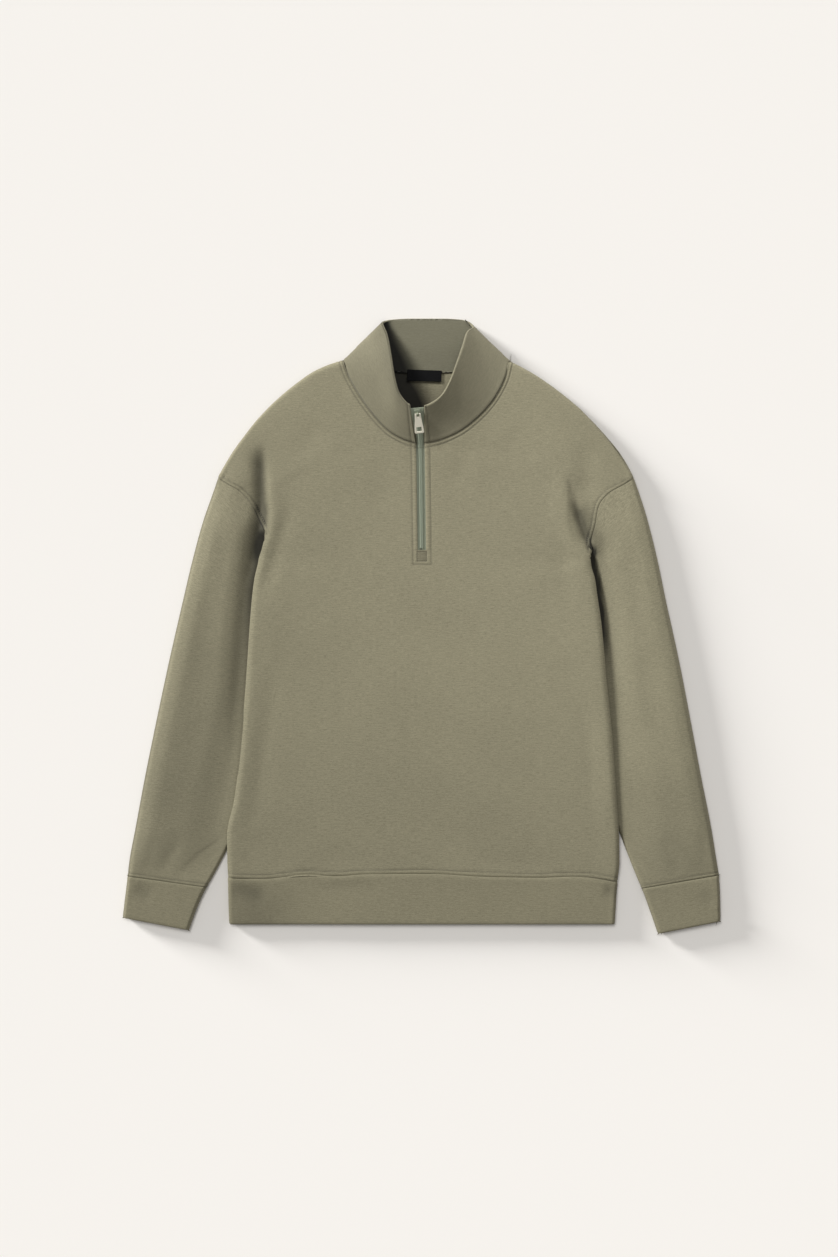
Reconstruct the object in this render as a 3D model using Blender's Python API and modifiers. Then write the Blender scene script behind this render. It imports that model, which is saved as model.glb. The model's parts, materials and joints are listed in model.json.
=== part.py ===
"""A half-zip scuba sweatshirt laid flat on a table, face up, neck towards +Y. Metres, +Z up.

Each cloth piece is the outer face of its panel, lofted through a short table of sections, with its
wall given by Solidify. The tables are in millimetres. Left and right are the wearer's, so the
right side of the garment lies towards -X.
"""

import math

import bmesh
import bpy
from mathutils import Matrix, Vector

MM = 0.001

# Cloth.
CLOTH = 1.6
DOUBLED = 3.0
SEAM_GAP = 0.35

# Heights of the outer faces above the table.
FRONT_TOP = 7.0
SEAM_TOP = 4.9
BACK_EDGE = 2.5
BAND_TOP = 8.8
SLEEVE_TOP = 9.6
SLEEVE_INNER_TOP = 5.2
UNDERFOLD = 5.9

# Zip.
SLOT_HALF = 5.0
SLOT_END_Y = 95.0
TAPE_THICK = 0.7
TAPE_GAP = 0.3
CHAIN_WIDTH = 4.4
CHAIN_THICK = 1.5
CHAIN_ROUND = 0.35
SLIDER_LENGTH = 9.0
SLIDER_WIDTH = 7.6
SLIDER_THICK = 3.4
BAIL_RADIUS = 1.9
BAIL_HEIGHT = 3.3
BAIL_WIRE = 0.55
PULL_LENGTH = 25.0
PULL_TOP_WIDTH = 7.6
PULL_END_WIDTH = 10.4
PULL_THICK = 1.3

# Neck label.
LABEL_WIDTH = 43.0
LABEL_HEIGHT = 14.0
LABEL_THICK = 0.6
LABEL_X = 4.2
LABEL_Y = 313.4
LABEL_TILT = math.radians(-2.0)

COLOURS = {
    "scuba": (0.268, 0.245, 0.160, 1.0),
    "scuba_shade": (0.235, 0.215, 0.138, 1.0),
    "tape": (0.205, 0.238, 0.165, 1.0),
    "coil": (0.215, 0.250, 0.175, 1.0),
    "metal": (0.730, 0.690, 0.580, 1.0),
    "label": (0.012, 0.012, 0.013, 1.0),
}

# Shoulder outline, from the neck point to the shoulder tip: x on the right, x on the left, y.
SHOULDER = (
    (-97.0, 110.0, 332.5),
    (-118.8, 123.0, 326.0),
    (-141.0, 144.0, 313.8),
    (-175.0, 178.8, 288.8),
    (-200.0, 207.5, 263.8),
    (-221.0, 231.0, 238.8),
    (-238.8, 251.0, 213.8),
    (-254.0, 266.2, 186.2),
)

# Front neckline, from the zip to the neck point: x on the right, x on the left, y.
NECKLINE = (
    (-5.5, 4.5, 229.0),
    (-18.5, 22.0, 232.5),
    (-37.5, 46.0, 242.5),
    (-57.5, 72.0, 262.5),
    (-75.0, 92.0, 286.0),
    (-90.0, 105.0, 312.5),
    (-97.0, 110.0, 332.5),
)

# Hem seam: x, y.
HEM_SEAM = (
    (-242.0, -313.8),
    (-197.5, -315.6),
    (-141.0, -310.5),
    (-106.0, -312.5),
    (-71.0, -310.2),
    (10.0, -309.6),
    (86.0, -313.4),
    (151.0, -314.4),
    (190.0, -312.8),
    (246.0, -319.5),
)

# Front sections: the y at the zip, then for ridge, brink, hollow and seam their x and z, and the
# seam's own y. The ridge is the highest line near the side, the brink is where the cloth turns
# over, and the hollow is the valley beside it or, lower down, the fold's underside.
FRONT_COLUMNS = "y rx rz bx bz hx hz sx sy sz".split()
FRONT_RIGHT = (
    (-308.0, -235.0, 9.4, -240.5, 6.2, -241.0, 5.4, -240.9, -313.6, 4.9),
    (-292.0, -236.0, 10.2, -242.3, 6.4, -242.2, 5.4, -241.4, -292.0, 4.9),
    (-262.0, -236.5, 11.0, -242.8, 7.8, -240.0, 5.9, -231.0, -262.0, 5.9),
    (-217.5, -227.0, 12.0, -233.8, 8.7, -229.0, 5.9, -208.0, -217.5, 5.9),
    (-142.5, -217.5, 12.5, -224.8, 9.1, -219.0, 5.9, -187.0, -142.5, 5.9),
    (-67.5, -211.5, 12.5, -218.8, 9.1, -213.0, 5.9, -170.0, -67.5, 5.9),
    (7.5, -206.5, 12.5, -213.6, 9.1, -208.0, 5.9, -153.0, 7.5, 5.9),
    (57.5, -201.0, 12.6, -208.6, 9.2, -203.0, 5.9, -148.0, 57.5, 5.9),
    (95.0, -194.0, 12.8, -202.0, 9.3, -197.5, 6.0, -163.5, 82.5, 5.9),
    (108.0, -187.5, 12.8, -194.5, 10.0, -192.5, 7.4, -181.0, 98.0, 6.2),
    (135.0, -185.5, 12.6, -192.5, 11.0, -195.5, 9.0, -195.5, 119.5, 7.6),
    (170.0, -185.5, 12.2, -194.0, 10.6, -201.0, 8.6, -203.3, 134.0, 8.4),
    (206.0, -186.0, 11.6, -195.5, 10.2, -204.0, 8.5, -214.8, 156.0, 9.0),
    (229.0, -186.5, 11.0, -196.0, 9.9, -205.0, 8.8, -229.0, 170.0, 9.6),
)
FRONT_LEFT = (
    (-308.0, 240.0, 9.4, 244.8, 6.2, 245.3, 5.4, 245.2, -319.2, 4.9),
    (-292.0, 242.0, 10.2, 248.1, 6.4, 248.0, 5.4, 247.0, -295.0, 4.9),
    (-262.0, 241.5, 11.0, 247.5, 7.8, 245.0, 5.9, 240.5, -262.0, 5.9),
    (-217.5, 237.0, 12.0, 244.4, 8.7, 239.5, 5.9, 222.0, -217.5, 5.9),
    (-142.5, 232.0, 12.5, 239.5, 9.1, 234.0, 5.9, 199.0, -142.5, 5.9),
    (-67.5, 224.5, 12.5, 231.8, 9.1, 226.5, 5.9, 177.0, -67.5, 5.9),
    (7.5, 217.5, 12.5, 225.0, 9.1, 219.5, 5.9, 158.5, 7.5, 5.9),
    (57.5, 207.5, 12.6, 215.0, 9.2, 209.5, 5.9, 154.0, 57.5, 5.9),
    (95.0, 199.5, 12.8, 207.8, 9.4, 203.0, 6.4, 176.0, 76.0, 6.2),
    (108.0, 190.5, 12.8, 199.5, 10.6, 202.5, 8.2, 203.0, 90.0, 6.9),
    (135.0, 184.5, 12.6, 193.0, 10.8, 200.5, 8.8, 211.8, 108.0, 8.0),
    (170.0, 181.0, 12.2, 189.0, 10.5, 198.0, 8.6, 217.8, 127.0, 8.8),
    (206.0, 180.5, 11.6, 188.0, 10.2, 197.0, 8.5, 221.5, 148.0, 9.2),
    (229.0, 181.0, 11.0, 188.5, 9.9, 198.0, 8.8, 236.0, 167.0, 9.7),
)

# Sleeve sections from the shoulder to the cuff: the outer edge's x and y, the inner edge's x and y,
# how far across the dip beside the body lies, its height, and the height near the inner edge.
SLEEVE_RIGHT = (
    (-262.0, 162.5, -150.5, 50.0, 0.48, 8.3, 5.2),
    (-272.5, 132.5, -151.8, 41.0, 0.51, 7.4, 5.2),
    (-286.2, 82.5, -154.3, 26.0, 0.56, 5.9, 5.2),
    (-298.0, 32.5, -158.8, 3.0, 0.58, 5.5, 5.2),
    (-315.2, -42.5, -172.5, -60.0, 0.69, 5.4, 5.2),
    (-331.2, -117.5, -191.0, -130.0, 0.76, 5.4, 5.2),
    (-346.4, -192.5, -210.5, -200.0, 0.82, 5.4, 5.2),
    (-358.0, -255.0, -230.5, -253.0, 0.88, 5.4, 5.2),
    (-365.0, -292.5, -249.5, -293.0, 0.60, 7.6, 6.4),
    (-367.3, -312.0, -267.5, -326.0, 0.50, 8.6, 8.6),
)
SLEEVE_LEFT = (
    (274.5, 162.5, 157.0, 50.0, 0.49, 8.3, 5.2),
    (283.8, 132.5, 158.5, 40.0, 0.52, 7.0, 5.2),
    (296.2, 82.5, 160.6, 26.0, 0.56, 5.9, 5.2),
    (306.6, 32.5, 164.5, -1.0, 0.55, 5.5, 5.2),
    (323.0, -42.5, 180.0, -62.0, 0.66, 5.4, 5.2),
    (337.5, -117.5, 203.0, -135.0, 0.75, 5.4, 5.2),
    (351.6, -192.5, 226.0, -202.0, 0.86, 5.4, 5.2),
    (363.4, -252.0, 246.5, -254.0, 0.80, 6.2, 5.4),
    (370.0, -292.5, 263.5, -298.0, 0.60, 8.0, 7.2),
    (373.0, -310.8, 275.6, -327.5, 0.50, 8.6, 8.6),
)

# Collar sections from the zip out to the neck point, one for each row of the neckline: the height of
# the bottom edge, and the top edge's x, y and z.
COLLAR_RIGHT = (
    (9.4, -14.0, 274.0, 30.0),
    (9.8, -22.5, 281.5, 31.0),
    (10.2, -30.0, 294.0, 31.0),
    (10.4, -35.0, 316.0, 29.5),
    (10.4, -38.0, 339.0, 26.0),
    (9.8, -42.5, 364.0, 18.5),
    (5.6, -48.5, 380.2, 9.6),
)
COLLAR_LEFT = (
    (9.4, 4.5, 273.0, 30.5),
    (9.8, 26.0, 286.0, 31.5),
    (10.2, 36.5, 304.0, 31.0),
    (10.4, 45.0, 328.0, 29.5),
    (10.4, 52.5, 350.0, 26.0),
    (9.8, 58.5, 368.0, 18.5),
    (5.6, 65.5, 374.5, 9.6),
)

# The collar behind, from the right neck point to the left: bottom x, y, z and top x, y, z.
COLLAR_BACK = (
    (-92.6, 330.3, 1.6, -42.0, 383.4, 2.4),
    (-74.0, 325.3, 0.0, -32.0, 384.2, 0.4),
    (-40.0, 319.2, 0.0, -15.0, 385.0, 0.0),
    (4.0, 316.2, 0.0, 7.5, 385.0, 0.0),
    (50.0, 319.2, 0.0, 27.0, 385.0, 0.0),
    (85.0, 325.3, 0.0, 46.0, 384.2, 0.4),
    (105.6, 330.3, 1.6, 59.0, 382.0, 2.4),
)

# Back neckline: x, y.
BACK_NECK = (
    (-97.0, 332.1),
    (-92.8, 329.7),
    (-74.0, 324.7),
    (-40.0, 318.7),
    (4.0, 315.7),
    (50.0, 318.7),
    (85.0, 324.7),
    (105.8, 329.7),
    (110.0, 332.1),
)

# Cuffs, seam first: outer x and y, inner x and y.
CUFF_RIGHT = (
    (-367.4, -312.5, -267.8, -326.5),
    (-370.0, -333.0, -277.0, -346.0),
    (-373.8, -365.0, -289.8, -381.0),
)
CUFF_LEFT = (
    (373.1, -311.3, 275.9, -328.0),
    (374.6, -335.0, 284.5, -352.0),
    (375.2, -369.6, 296.0, -385.4),
)

# Hem band, seam first: right edge x and y, left edge x and y.
HEM_BAND = (
    (-241.6, -314.0, 246.0, -319.8),
    (-241.0, -345.0, 244.0, -347.0),
    (-240.0, -373.4, 242.6, -373.4),
)

# The zip's line, from its bottom end to the top of the collar: y, x, height of the tape's face.
ZIP_LINE = (
    (83.0, 1.2, 5.0),
    (150.0, 0.4, 5.0),
    (200.0, -0.3, 5.1),
    (222.0, -0.8, 5.9),
    (232.0, -1.0, 9.0),
    (244.0, -2.2, 14.2),
    (273.0, -5.2, 28.0),
)


def gentle(before, after, span_before, span_after):
    """A slope between two others that never overshoots: the weighted harmonic mean, or 0 at a turn."""
    if before * after <= 0:
        return 0.0
    a = 2 * span_after + span_before
    b = span_after + 2 * span_before
    return (a + b) / (a / before + b / after)


def end_slope(near, far, span_near, span_far):
    """The slope at a line's end, which keeps to its last span's direction."""
    slope = ((2 * span_near + span_far) * near - span_near * far) / (span_near + span_far)
    if slope * near <= 0:
        return 0.0
    return slope if abs(slope) < 3 * abs(near) else 3 * near


def spline(points, steps):
    """A smooth line through the points that never overshoots, with so many segments in each span."""
    points = [Vector(point) for point in points]
    if len(points) == 2:
        return [points[0].lerp(points[1], i / steps[0]) for i in range(steps[0] + 1)]
    spans = [max((b - a).length, 1e-6) for a, b in zip(points, points[1:])]
    chords = [(b - a) / span for a, b, span in zip(points, points[1:], spans)]
    slopes = [Vector(end_slope(*pair, spans[0], spans[1]) for pair in zip(chords[0], chords[1]))]
    for i in range(1, len(points) - 1):
        pairs = zip(chords[i - 1], chords[i])
        slopes.append(Vector(gentle(*pair, spans[i - 1], spans[i]) for pair in pairs))
    pairs = zip(chords[-1], chords[-2])
    slopes.append(Vector(end_slope(*pair, spans[-1], spans[-2]) for pair in pairs))
    line = [points[0]]
    for i, count in enumerate(steps):
        for j in range(1, count + 1):
            t = j / count
            line.append(
                points[i] * (2 * t**3 - 3 * t**2 + 1)
                + slopes[i] * (spans[i] * (t**3 - 2 * t**2 + t))
                + points[i + 1] * (3 * t**2 - 2 * t**3)
                + slopes[i + 1] * (spans[i] * (t**3 - t**2))
            )
    return line


def table_value(table, at, key=0, value=1):
    """The table's value at a key, smoothly, with its rows in either order of the key."""
    rows = sorted(table, key=lambda row: row[key])
    line = spline([(row[key], row[value], 0.0) for row in rows], [8] * (len(rows) - 1))
    at = min(max(at, line[0].x), line[-1].x)
    for a, b in zip(line, line[1:]):
        if at <= b.x:
            share = (at - a.x) / max(b.x - a.x, 1e-9)
            return a.y + (b.y - a.y) * share
    return line[-1].y


def loft(rows, steps):
    """Rows of equal length joined by smooth lines along, as a grid of points."""
    lines = [spline(column, steps) for column in zip(*rows)]
    return [list(row) for row in zip(*lines)]


def material(name, roughness=0.9, metallic=0.0):
    made = bpy.data.materials.get(name)
    if made is None:
        made = bpy.data.materials.new(name)
        made.use_nodes = True
        shader = made.node_tree.nodes["Principled BSDF"]
        shader.inputs["Base Color"].default_value = COLOURS[name]
        shader.inputs["Roughness"].default_value = roughness
        shader.inputs["Metallic"].default_value = metallic
    return made


def add_object(name, bm, made_of):
    mesh = bpy.data.meshes.new(name)
    bm.to_mesh(mesh)
    bm.free()
    mesh.shade_smooth()
    mesh.set_sharp_from_angle(angle=math.radians(35))
    mesh.materials.append(made_of)
    obj = bpy.data.objects.new(name, mesh)
    PARTS.objects.link(obj)
    return obj


def cloth(name, grid, wall, made_of, ring=False, flip=False, hole=None):
    """A panel from a grid of its outer face's points in mm. hole(row, column) leaves a face out."""
    bm = bmesh.new()
    verts = [[bm.verts.new(point * MM) for point in row] for row in grid]
    width = len(grid[0])
    for i in range(len(grid) - 1):
        for j in range(width if ring else width - 1):
            if hole and hole(i, j):
                continue
            k = (j + 1) % width
            face = [verts[i][j], verts[i][k], verts[i + 1][k], verts[i + 1][j]]
            bm.faces.new(face[::-1] if flip else face)
    loose = [vert for vert in bm.verts if not vert.link_faces]
    bmesh.ops.delete(bm, geom=loose, context="VERTS")
    obj = add_object(name, bm, made_of)
    solidify = obj.modifiers.new("Wall", "SOLIDIFY")
    solidify.thickness = wall * MM
    solidify.offset = -1.0
    return obj


def zip_x(y):
    return table_value(ZIP_LINE, y)


def hem_y(x):
    return table_value(HEM_SEAM, x)


def back_hem_y(x):
    (right_x, right_y), (left_x, left_y) = HEM_SEAM[0], HEM_SEAM[-1]
    return right_y + (left_y - right_y) * (x - right_x) / (left_x - right_x)


def shoulder_y(x, side):
    return table_value(SHOULDER, x, key=0 if side < 0 else 1, value=2)


NECK_LIFT = 1.8
NECK_LIFT_FROM = 150.0
NECK_LIFT_SPAN = 80.0
FLAT_RISE = 0.5
UNDERFOLD_CLEAR = 3.0
RIDGE_WIDTH = 26.0


def front_sections(side):
    """Each front section's points from the zip out to the seam, hem first."""
    table = FRONT_RIGHT if side < 0 else FRONT_LEFT
    sections = []
    for row in table:
        at = dict(zip(FRONT_COLUMNS, row))
        lift = NECK_LIFT * min(max((at["y"] - NECK_LIFT_FROM) / NECK_LIFT_SPAN, 0.0), 1.0) ** 2
        inner = Vector((zip_x(at["y"]) + side * SLOT_HALF, at["y"], FRONT_TOP + lift))
        seam = Vector((at["sx"], at["sy"], at["sz"]))
        ridge = Vector((at["rx"], 0.0, at["rz"]))
        rise_x = side * min(abs(at["sx"]) + UNDERFOLD_CLEAR, abs(at["rx"]) - RIDGE_WIDTH)
        flat = Vector((0.45 * rise_x, 0.0, FRONT_TOP + FLAT_RISE + lift))
        rise = Vector((rise_x, 0.0, 0.5 * (FRONT_TOP + FLAT_RISE + at["rz"])))
        brink = Vector((at["bx"], 0.0, at["bz"]))
        hollow = Vector((at["hx"], 0.0, at["hz"]))
        reach = max(abs(at["bx"] - inner.x), abs(seam.x - inner.x))
        for point in (flat, rise, ridge, brink, hollow):
            point.y = inner.y + (seam.y - inner.y) * min(abs(point.x - inner.x) / reach, 1.0)
        sections.append([inner, flat, rise, ridge, brink, hollow, seam])
    for point in sections[0][:-1]:
        point.y = hem_y(point.x)
    return sections


def yoke_sections(side):
    """Sections between the neckline and the armhole's top, the last on the shoulder outline."""
    ridge_x, brink_x, hollow_x = (-187.0, -197.0, -208.0) if side < 0 else (183.0, 191.0, 202.0)
    pick = 0 if side < 0 else 1
    tip = Vector((SHOULDER[-1][pick], SHOULDER[-1][2], SEAM_TOP))
    neck = Vector((SHOULDER[0][pick], SHOULDER[0][2], SEAM_TOP))
    sections = []
    for place, seam_in, seam_down, bulge, heights in (
        (1, 21.5, 14.2, 2.0, (9.3, 8.8, 10.4, 9.9, 9.4, 9.8)),
        (2, 18.0, 12.4, 4.0, (9.6, 9.4, 10.2, 9.9, 9.6, 9.9)),
        (3, 11.5, 9.0, 9.0, (9.9, 9.6, 10.2, 10.0, 9.8, 9.9)),
        (4, 6.8, 5.8, 15.0, (9.9, 9.8, 10.2, 10.1, 10.0, 9.8)),
        (5, 4.6, 4.6, 19.0, (9.4, 10.0, 10.2, 10.2, 10.1, 9.4)),
    ):
        seam = Vector((tip.x - side * seam_in, tip.y - seam_down, heights[5]))
        inner = Vector((NECKLINE[place][pick], NECKLINE[place][2], heights[0]))
        flat_x = 0.64 * inner.x + 0.36 * ridge_x
        rise_x = 0.3 * inner.x + 0.7 * ridge_x
        rise_z = 0.5 * (heights[1] + heights[2])
        row = [inner]
        places = (flat_x, rise_x, ridge_x, brink_x, hollow_x)
        for x, z in zip(places, (heights[1], rise_z, *heights[2:5])):
            f = (x - inner.x) / (seam.x - inner.x)
            y = inner.y + (seam.y - inner.y) * f + bulge * 4 * f * (1 - f)
            row.append(Vector((x, y, z)))
        sections.append(row + [seam])
    flat_x = 0.64 * neck.x + 0.36 * ridge_x
    rise_x = 0.3 * neck.x + 0.7 * ridge_x
    for inset, height in ((3.6, 9.6), (1.0, 7.6), (0.0, SEAM_TOP)):
        row = [neck + Vector((-side * 0.45 * inset, -1.6 * inset, height - SEAM_TOP))]
        for x in (flat_x, rise_x, ridge_x, brink_x, hollow_x):
            row.append(Vector((x, shoulder_y(x, side) - 1.25 * inset, height)))
        row.append(tip + Vector((side * -0.7 * inset, -0.9 * inset, height - SEAM_TOP)))
        sections.append(row)
    return sections


FRONT_ACROSS = (3, 3, 3, 3, 2, 2)
BODY_ALONG = (1, 1, 1, 1, 1, 1, 1, 1, 1, 1, 1, 1, 1)
YOKE_ALONG = (1, 1, 1, 1, 1, 1, 1, 1)
UNDERARM = sum(BODY_ALONG[:7])


def half_front(side):
    """Half the front's outer face, a row of points for each line across, hem first."""
    body = front_sections(side)
    yoke = yoke_sections(side)
    rows = [spline(section, FRONT_ACROSS) for section in body + yoke]
    lower = loft(rows[: len(body)], BODY_ALONG)
    upper = loft(rows[len(body) - 1 :], YOKE_ALONG)
    for point in lower[0]:
        point.y = hem_y(point.x)
    return lower + upper[1:]


def build_front():
    right = half_front(-1)
    left = half_front(1)
    grid = [list(reversed(a)) + b for a, b in zip(right, left)]
    middle = len(right[0]) - 1
    slot = [row[middle].y > SLOT_END_Y - 0.1 for row in grid].index(True)

    def in_slot(i, j):
        return i >= slot and j == middle

    cloth("front_panel", grid, CLOTH, material("scuba"), hole=in_slot)


BACK_CENTRE_X = 4.0
NECK_STEPS = (0.0, 0.3, 0.6, 0.86, 0.955)
SHOULDER_STEPS = (0.0, 0.22, 0.44, 0.66, 0.84, 0.925, 0.97, 1.0)
CURL = 9.0
BACK_ARMHOLE_BOW = -6.0


def curl(distance):
    """How far the back's edge is lifted, from 1 at the seam to 0 where it lies flat."""
    return max(1 - distance / CURL, 0.0) ** 2


def back_top(side):
    """The back's top edge, from the middle of the neck past the neck point to the shoulder tip."""
    pick = 0 if side < 0 else 1
    neck_x, tip_x = SHOULDER[0][pick], SHOULDER[-1][pick]
    line = []
    for f in NECK_STEPS:
        x = BACK_CENTRE_X + (neck_x - BACK_CENTRE_X) * f
        line.append(Vector((x, table_value(BACK_NECK, x), 0.0)))
    for f in SHOULDER_STEPS:
        x = neck_x + (tip_x - neck_x) * f
        line.append(Vector((x, shoulder_y(x, side), BACK_EDGE if f else 0.4 * BACK_EDGE)))
    return line


def back_edge(side):
    """The back's side seam and armhole, from the hem to the shoulder tip."""
    seam = [row[-1].copy() for row in half_front(side)]
    lengths = [0.0]
    for a, b in zip(seam[UNDERARM:], seam[UNDERARM + 1 :]):
        lengths.append(lengths[-1] + (b.xy - a.xy).length)
    underarm, tip = seam[UNDERARM].copy(), back_top(side)[-1]
    for i, point in enumerate(seam):
        if i < 2:
            point.z = BACK_EDGE
        else:
            point.x -= side * SEAM_GAP
            point.z = min(point.z, (UNDERFOLD, 2.6, 0.6, 0.0)[min(max(i - UNDERARM + 1, 0), 3)])
        if i > UNDERARM:
            f = lengths[i - UNDERARM] / lengths[-1]
            bow = BACK_ARMHOLE_BOW * 4 * f * (1 - f)
            point.xy = underarm.xy.lerp(tip.xy, f) + Vector((-side * bow, bow)) * 0.7
    seam[-2].z = 0.6 * BACK_EDGE
    seam[-1].z = BACK_EDGE
    return seam


def half_back(side):
    """Half the back's outer face, which lies on the table and curls up to its seams."""
    edge = back_edge(side)
    top = back_top(side)
    steps = [0.0]
    for a, b in zip(edge, edge[1:]):
        steps.append(steps[-1] + (b.xy - a.xy).length)
    grid = []
    for point, step in zip(edge, steps):
        v = step / steps[-1]
        row = []
        for j, above in enumerate(top):
            u = abs(above.x - top[0].x) / abs(top[-1].x - top[0].x)
            bottom_x = top[0].x + (edge[0].x - top[0].x) * u
            bottom = Vector((bottom_x, back_hem_y(bottom_x)))
            middle = Vector((top[0].x, back_hem_y(top[0].x) * (1 - v) + top[0].y * v))
            corners = (
                middle * (1 - u)
                + (edge[0].xy * (1 - v) + edge[-1].xy * v) * u
            )
            across = middle * (1 - u) + point.xy * u
            along = bottom * (1 - v) + above.xy * v
            at = across + along - corners
            height = max(
                curl((at - point.xy).length) * point.z,
                curl((at - above.xy).length) * above.z,
            )
            row.append(Vector((at.x, at.y, height)))
        grid.append(row)
    return grid


def build_back():
    right = half_back(-1)
    left = half_back(1)
    grid = [list(reversed(a)) + b[1:] for a, b in zip(right, left)]
    cloth("back_panel", grid, CLOTH, material("scuba"), flip=True)


TUBE_TOP = (2, 2, 3, 2, 2, 2)
TUBE_BOTTOM = (2, 4, 2)
SLEEVE_ALONG = (1, 1, 2, 2, 2, 2, 2, 2, 1, 1)
SLEEVE_EDGE = 3.6
CREST_IN = 7.0
LOW_SEAM = 8.5
LOW_SEAM_DROP = 1.3


def tube_section(outer, inner, crest, dip_at, dip, inner_top):
    """A flattened tube's ring: over the top from the outer edge to the inner, and back below."""
    outer = Vector((*outer, SLEEVE_EDGE))
    inner = Vector((*inner, 0.5 * min(inner_top, 2 * SLEEVE_EDGE)))
    across = inner - outer
    across.z = 0.0
    width = across.length

    def place(distance, height):
        point = outer + across * (distance / width)
        point.z = height
        return point

    top = [
        outer,
        place(CREST_IN, crest),
        place(0.5 * (CREST_IN + width * dip_at), 0.5 * (crest + dip)),
        place(width * dip_at, dip),
        place(min(width * dip_at + 14.0, width - 9.0), inner_top + 0.1 * (dip - inner_top)),
        place(width - 4.0, inner_top),
        inner,
    ]
    bottom = [inner, place(width - 4.0, 0.0), place(CREST_IN, 0.0), outer]
    return spline(top, TUBE_TOP)[:-1] + spline(bottom, TUBE_BOTTOM)[:-1]


def armhole_section(side, beyond):
    """The sleeve's ring at the armhole, on the front's edge above and the back's below."""
    front = list(reversed([row[-1] for row in half_front(side)][UNDERARM:]))
    back = list(reversed(back_edge(side)[UNDERARM:]))
    lengths = [0.0]
    for a, b in zip(front, front[1:]):
        lengths.append(lengths[-1] + (b.xy - a.xy).length)

    def along(line, share):
        want = share * lengths[-1]
        for i in range(len(line) - 1):
            if want <= lengths[i + 1] + 1e-9:
                f = (want - lengths[i]) / max(lengths[i + 1] - lengths[i], 1e-9)
                return line[i].lerp(line[i + 1], f)
        return line[-1].copy()

    count = sum(TUBE_TOP)
    first, last = beyond[0].xy, beyond[count].xy
    seam_way = (front[-1].xy - front[0].xy).normalized()
    outward = Vector((-side * seam_way.y, side * seam_way.x))
    ring = []
    for k, point in enumerate(beyond):
        share = (point.xy - first).length / (last - first).length
        if k <= count:
            at = along(front, min(share, 1.0))
            drop = SEAM_GAP + (LOW_SEAM_DROP if at.z < LOW_SEAM else 0.0)
            at.z = max(at.z - drop, SLEEVE_INNER_TOP)
            if k == count:
                at.z = point.z
            if k == 0:
                at.z = SLEEVE_EDGE + 0.8
        else:
            at = along(back, min(share, 1.0))
            at.z = max(at.z - 0.6, 0.0)
        step = outward * (SEAM_GAP + (1.4 if abs(k - count) < 2 else 0.3))
        ring.append(Vector((at.x + step.x, at.y + step.y, at.z)))
    return ring


def build_sleeve(name, table, side):
    rows = []
    for ox, oy, ix, iy, dip_at, dip, inner_top in table:
        crest = SLEEVE_TOP if iy > table[-1][3] else BAND_TOP
        rows.append(tube_section((ox, oy), (ix, iy), crest, dip_at, dip, inner_top))
    rows.insert(0, armhole_section(side, rows[0]))
    grid = loft(rows, SLEEVE_ALONG)
    cloth(name, grid, CLOTH, material("scuba"), ring=True, flip=side < 0)


BAND_ALONG = (2, 2)
CUFF_TOP = (2, 5, 2)
HEM_UNDER = 12
BAND_ROLL = 4.9


def band_section(outer, inner, top_steps, bottom_steps):
    """A flattened ring of doubled cloth."""
    outer = Vector((*outer, 0.5 * BAND_TOP))
    inner = Vector((*inner, 0.5 * BAND_TOP))
    inward = (inner - outer).normalized() * CREST_IN * 0.7
    up = Vector((0.0, 0.0, 0.5 * BAND_TOP))
    top = [outer, outer + inward + up, inner - inward + up, inner]
    bottom = [inner, inner - inward - up, outer + inward - up, outer]
    return spline(top, top_steps)[:-1] + spline(bottom, bottom_steps)[:-1]


def build_cuff(name, table, side):
    rows = []
    for ox, oy, ix, iy in table:
        rows.append(band_section((ox, oy), (ix, iy), CUFF_TOP, CUFF_TOP))
    made_of = material("scuba_shade")
    cloth(name, loft(rows, BAND_ALONG), DOUBLED, made_of, ring=True, flip=side < 0)


def band_height(distance):
    """How far a flattened band's face stands off its middle, so near its rolled edge."""
    short = max(1 - distance / BAND_ROLL, 0.0)
    return 0.5 * BAND_TOP * math.sqrt(max(1 - short**2, 0.0))


def build_hem():
    """The band's upper columns follow the front's hem, so that their shared seam keeps its gap."""
    seam = [point.x for point in half_front(-1)[0][::-1] + half_front(1)[0]]
    low, high = min(seam), max(seam)
    shares = sorted({round((x - low) / (high - low), 4) for x in seam})
    rows = []
    for right_x, right_y, left_x, left_y in HEM_BAND:
        width = left_x - right_x
        row = []
        for f in shares + [1 - k / HEM_UNDER for k in range(1, HEM_UNDER)]:
            away = band_height(width * min(f, 1 - f)) * (1 if len(row) < len(shares) else -1)
            y = right_y + (left_y - right_y) * f
            row.append(Vector((right_x + width * f, y, 0.5 * BAND_TOP + away)))
        rows.append(row)
    for point in rows[0][: len(shares)]:
        point.y = hem_y(point.x) - 2 * SEAM_GAP
    for point in rows[0][len(shares) :]:
        point.y = back_hem_y(point.x) - SEAM_GAP
    made_of = material("scuba_shade")
    cloth("hem_band", loft(rows, BAND_ALONG), DOUBLED, made_of, ring=True, flip=True)


COLLAR_BULGE = 1.2
COLLAR_STANDS = 30.0
COLLAR_UP = (0.0, 0.35, 0.7, 1.0)


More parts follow.
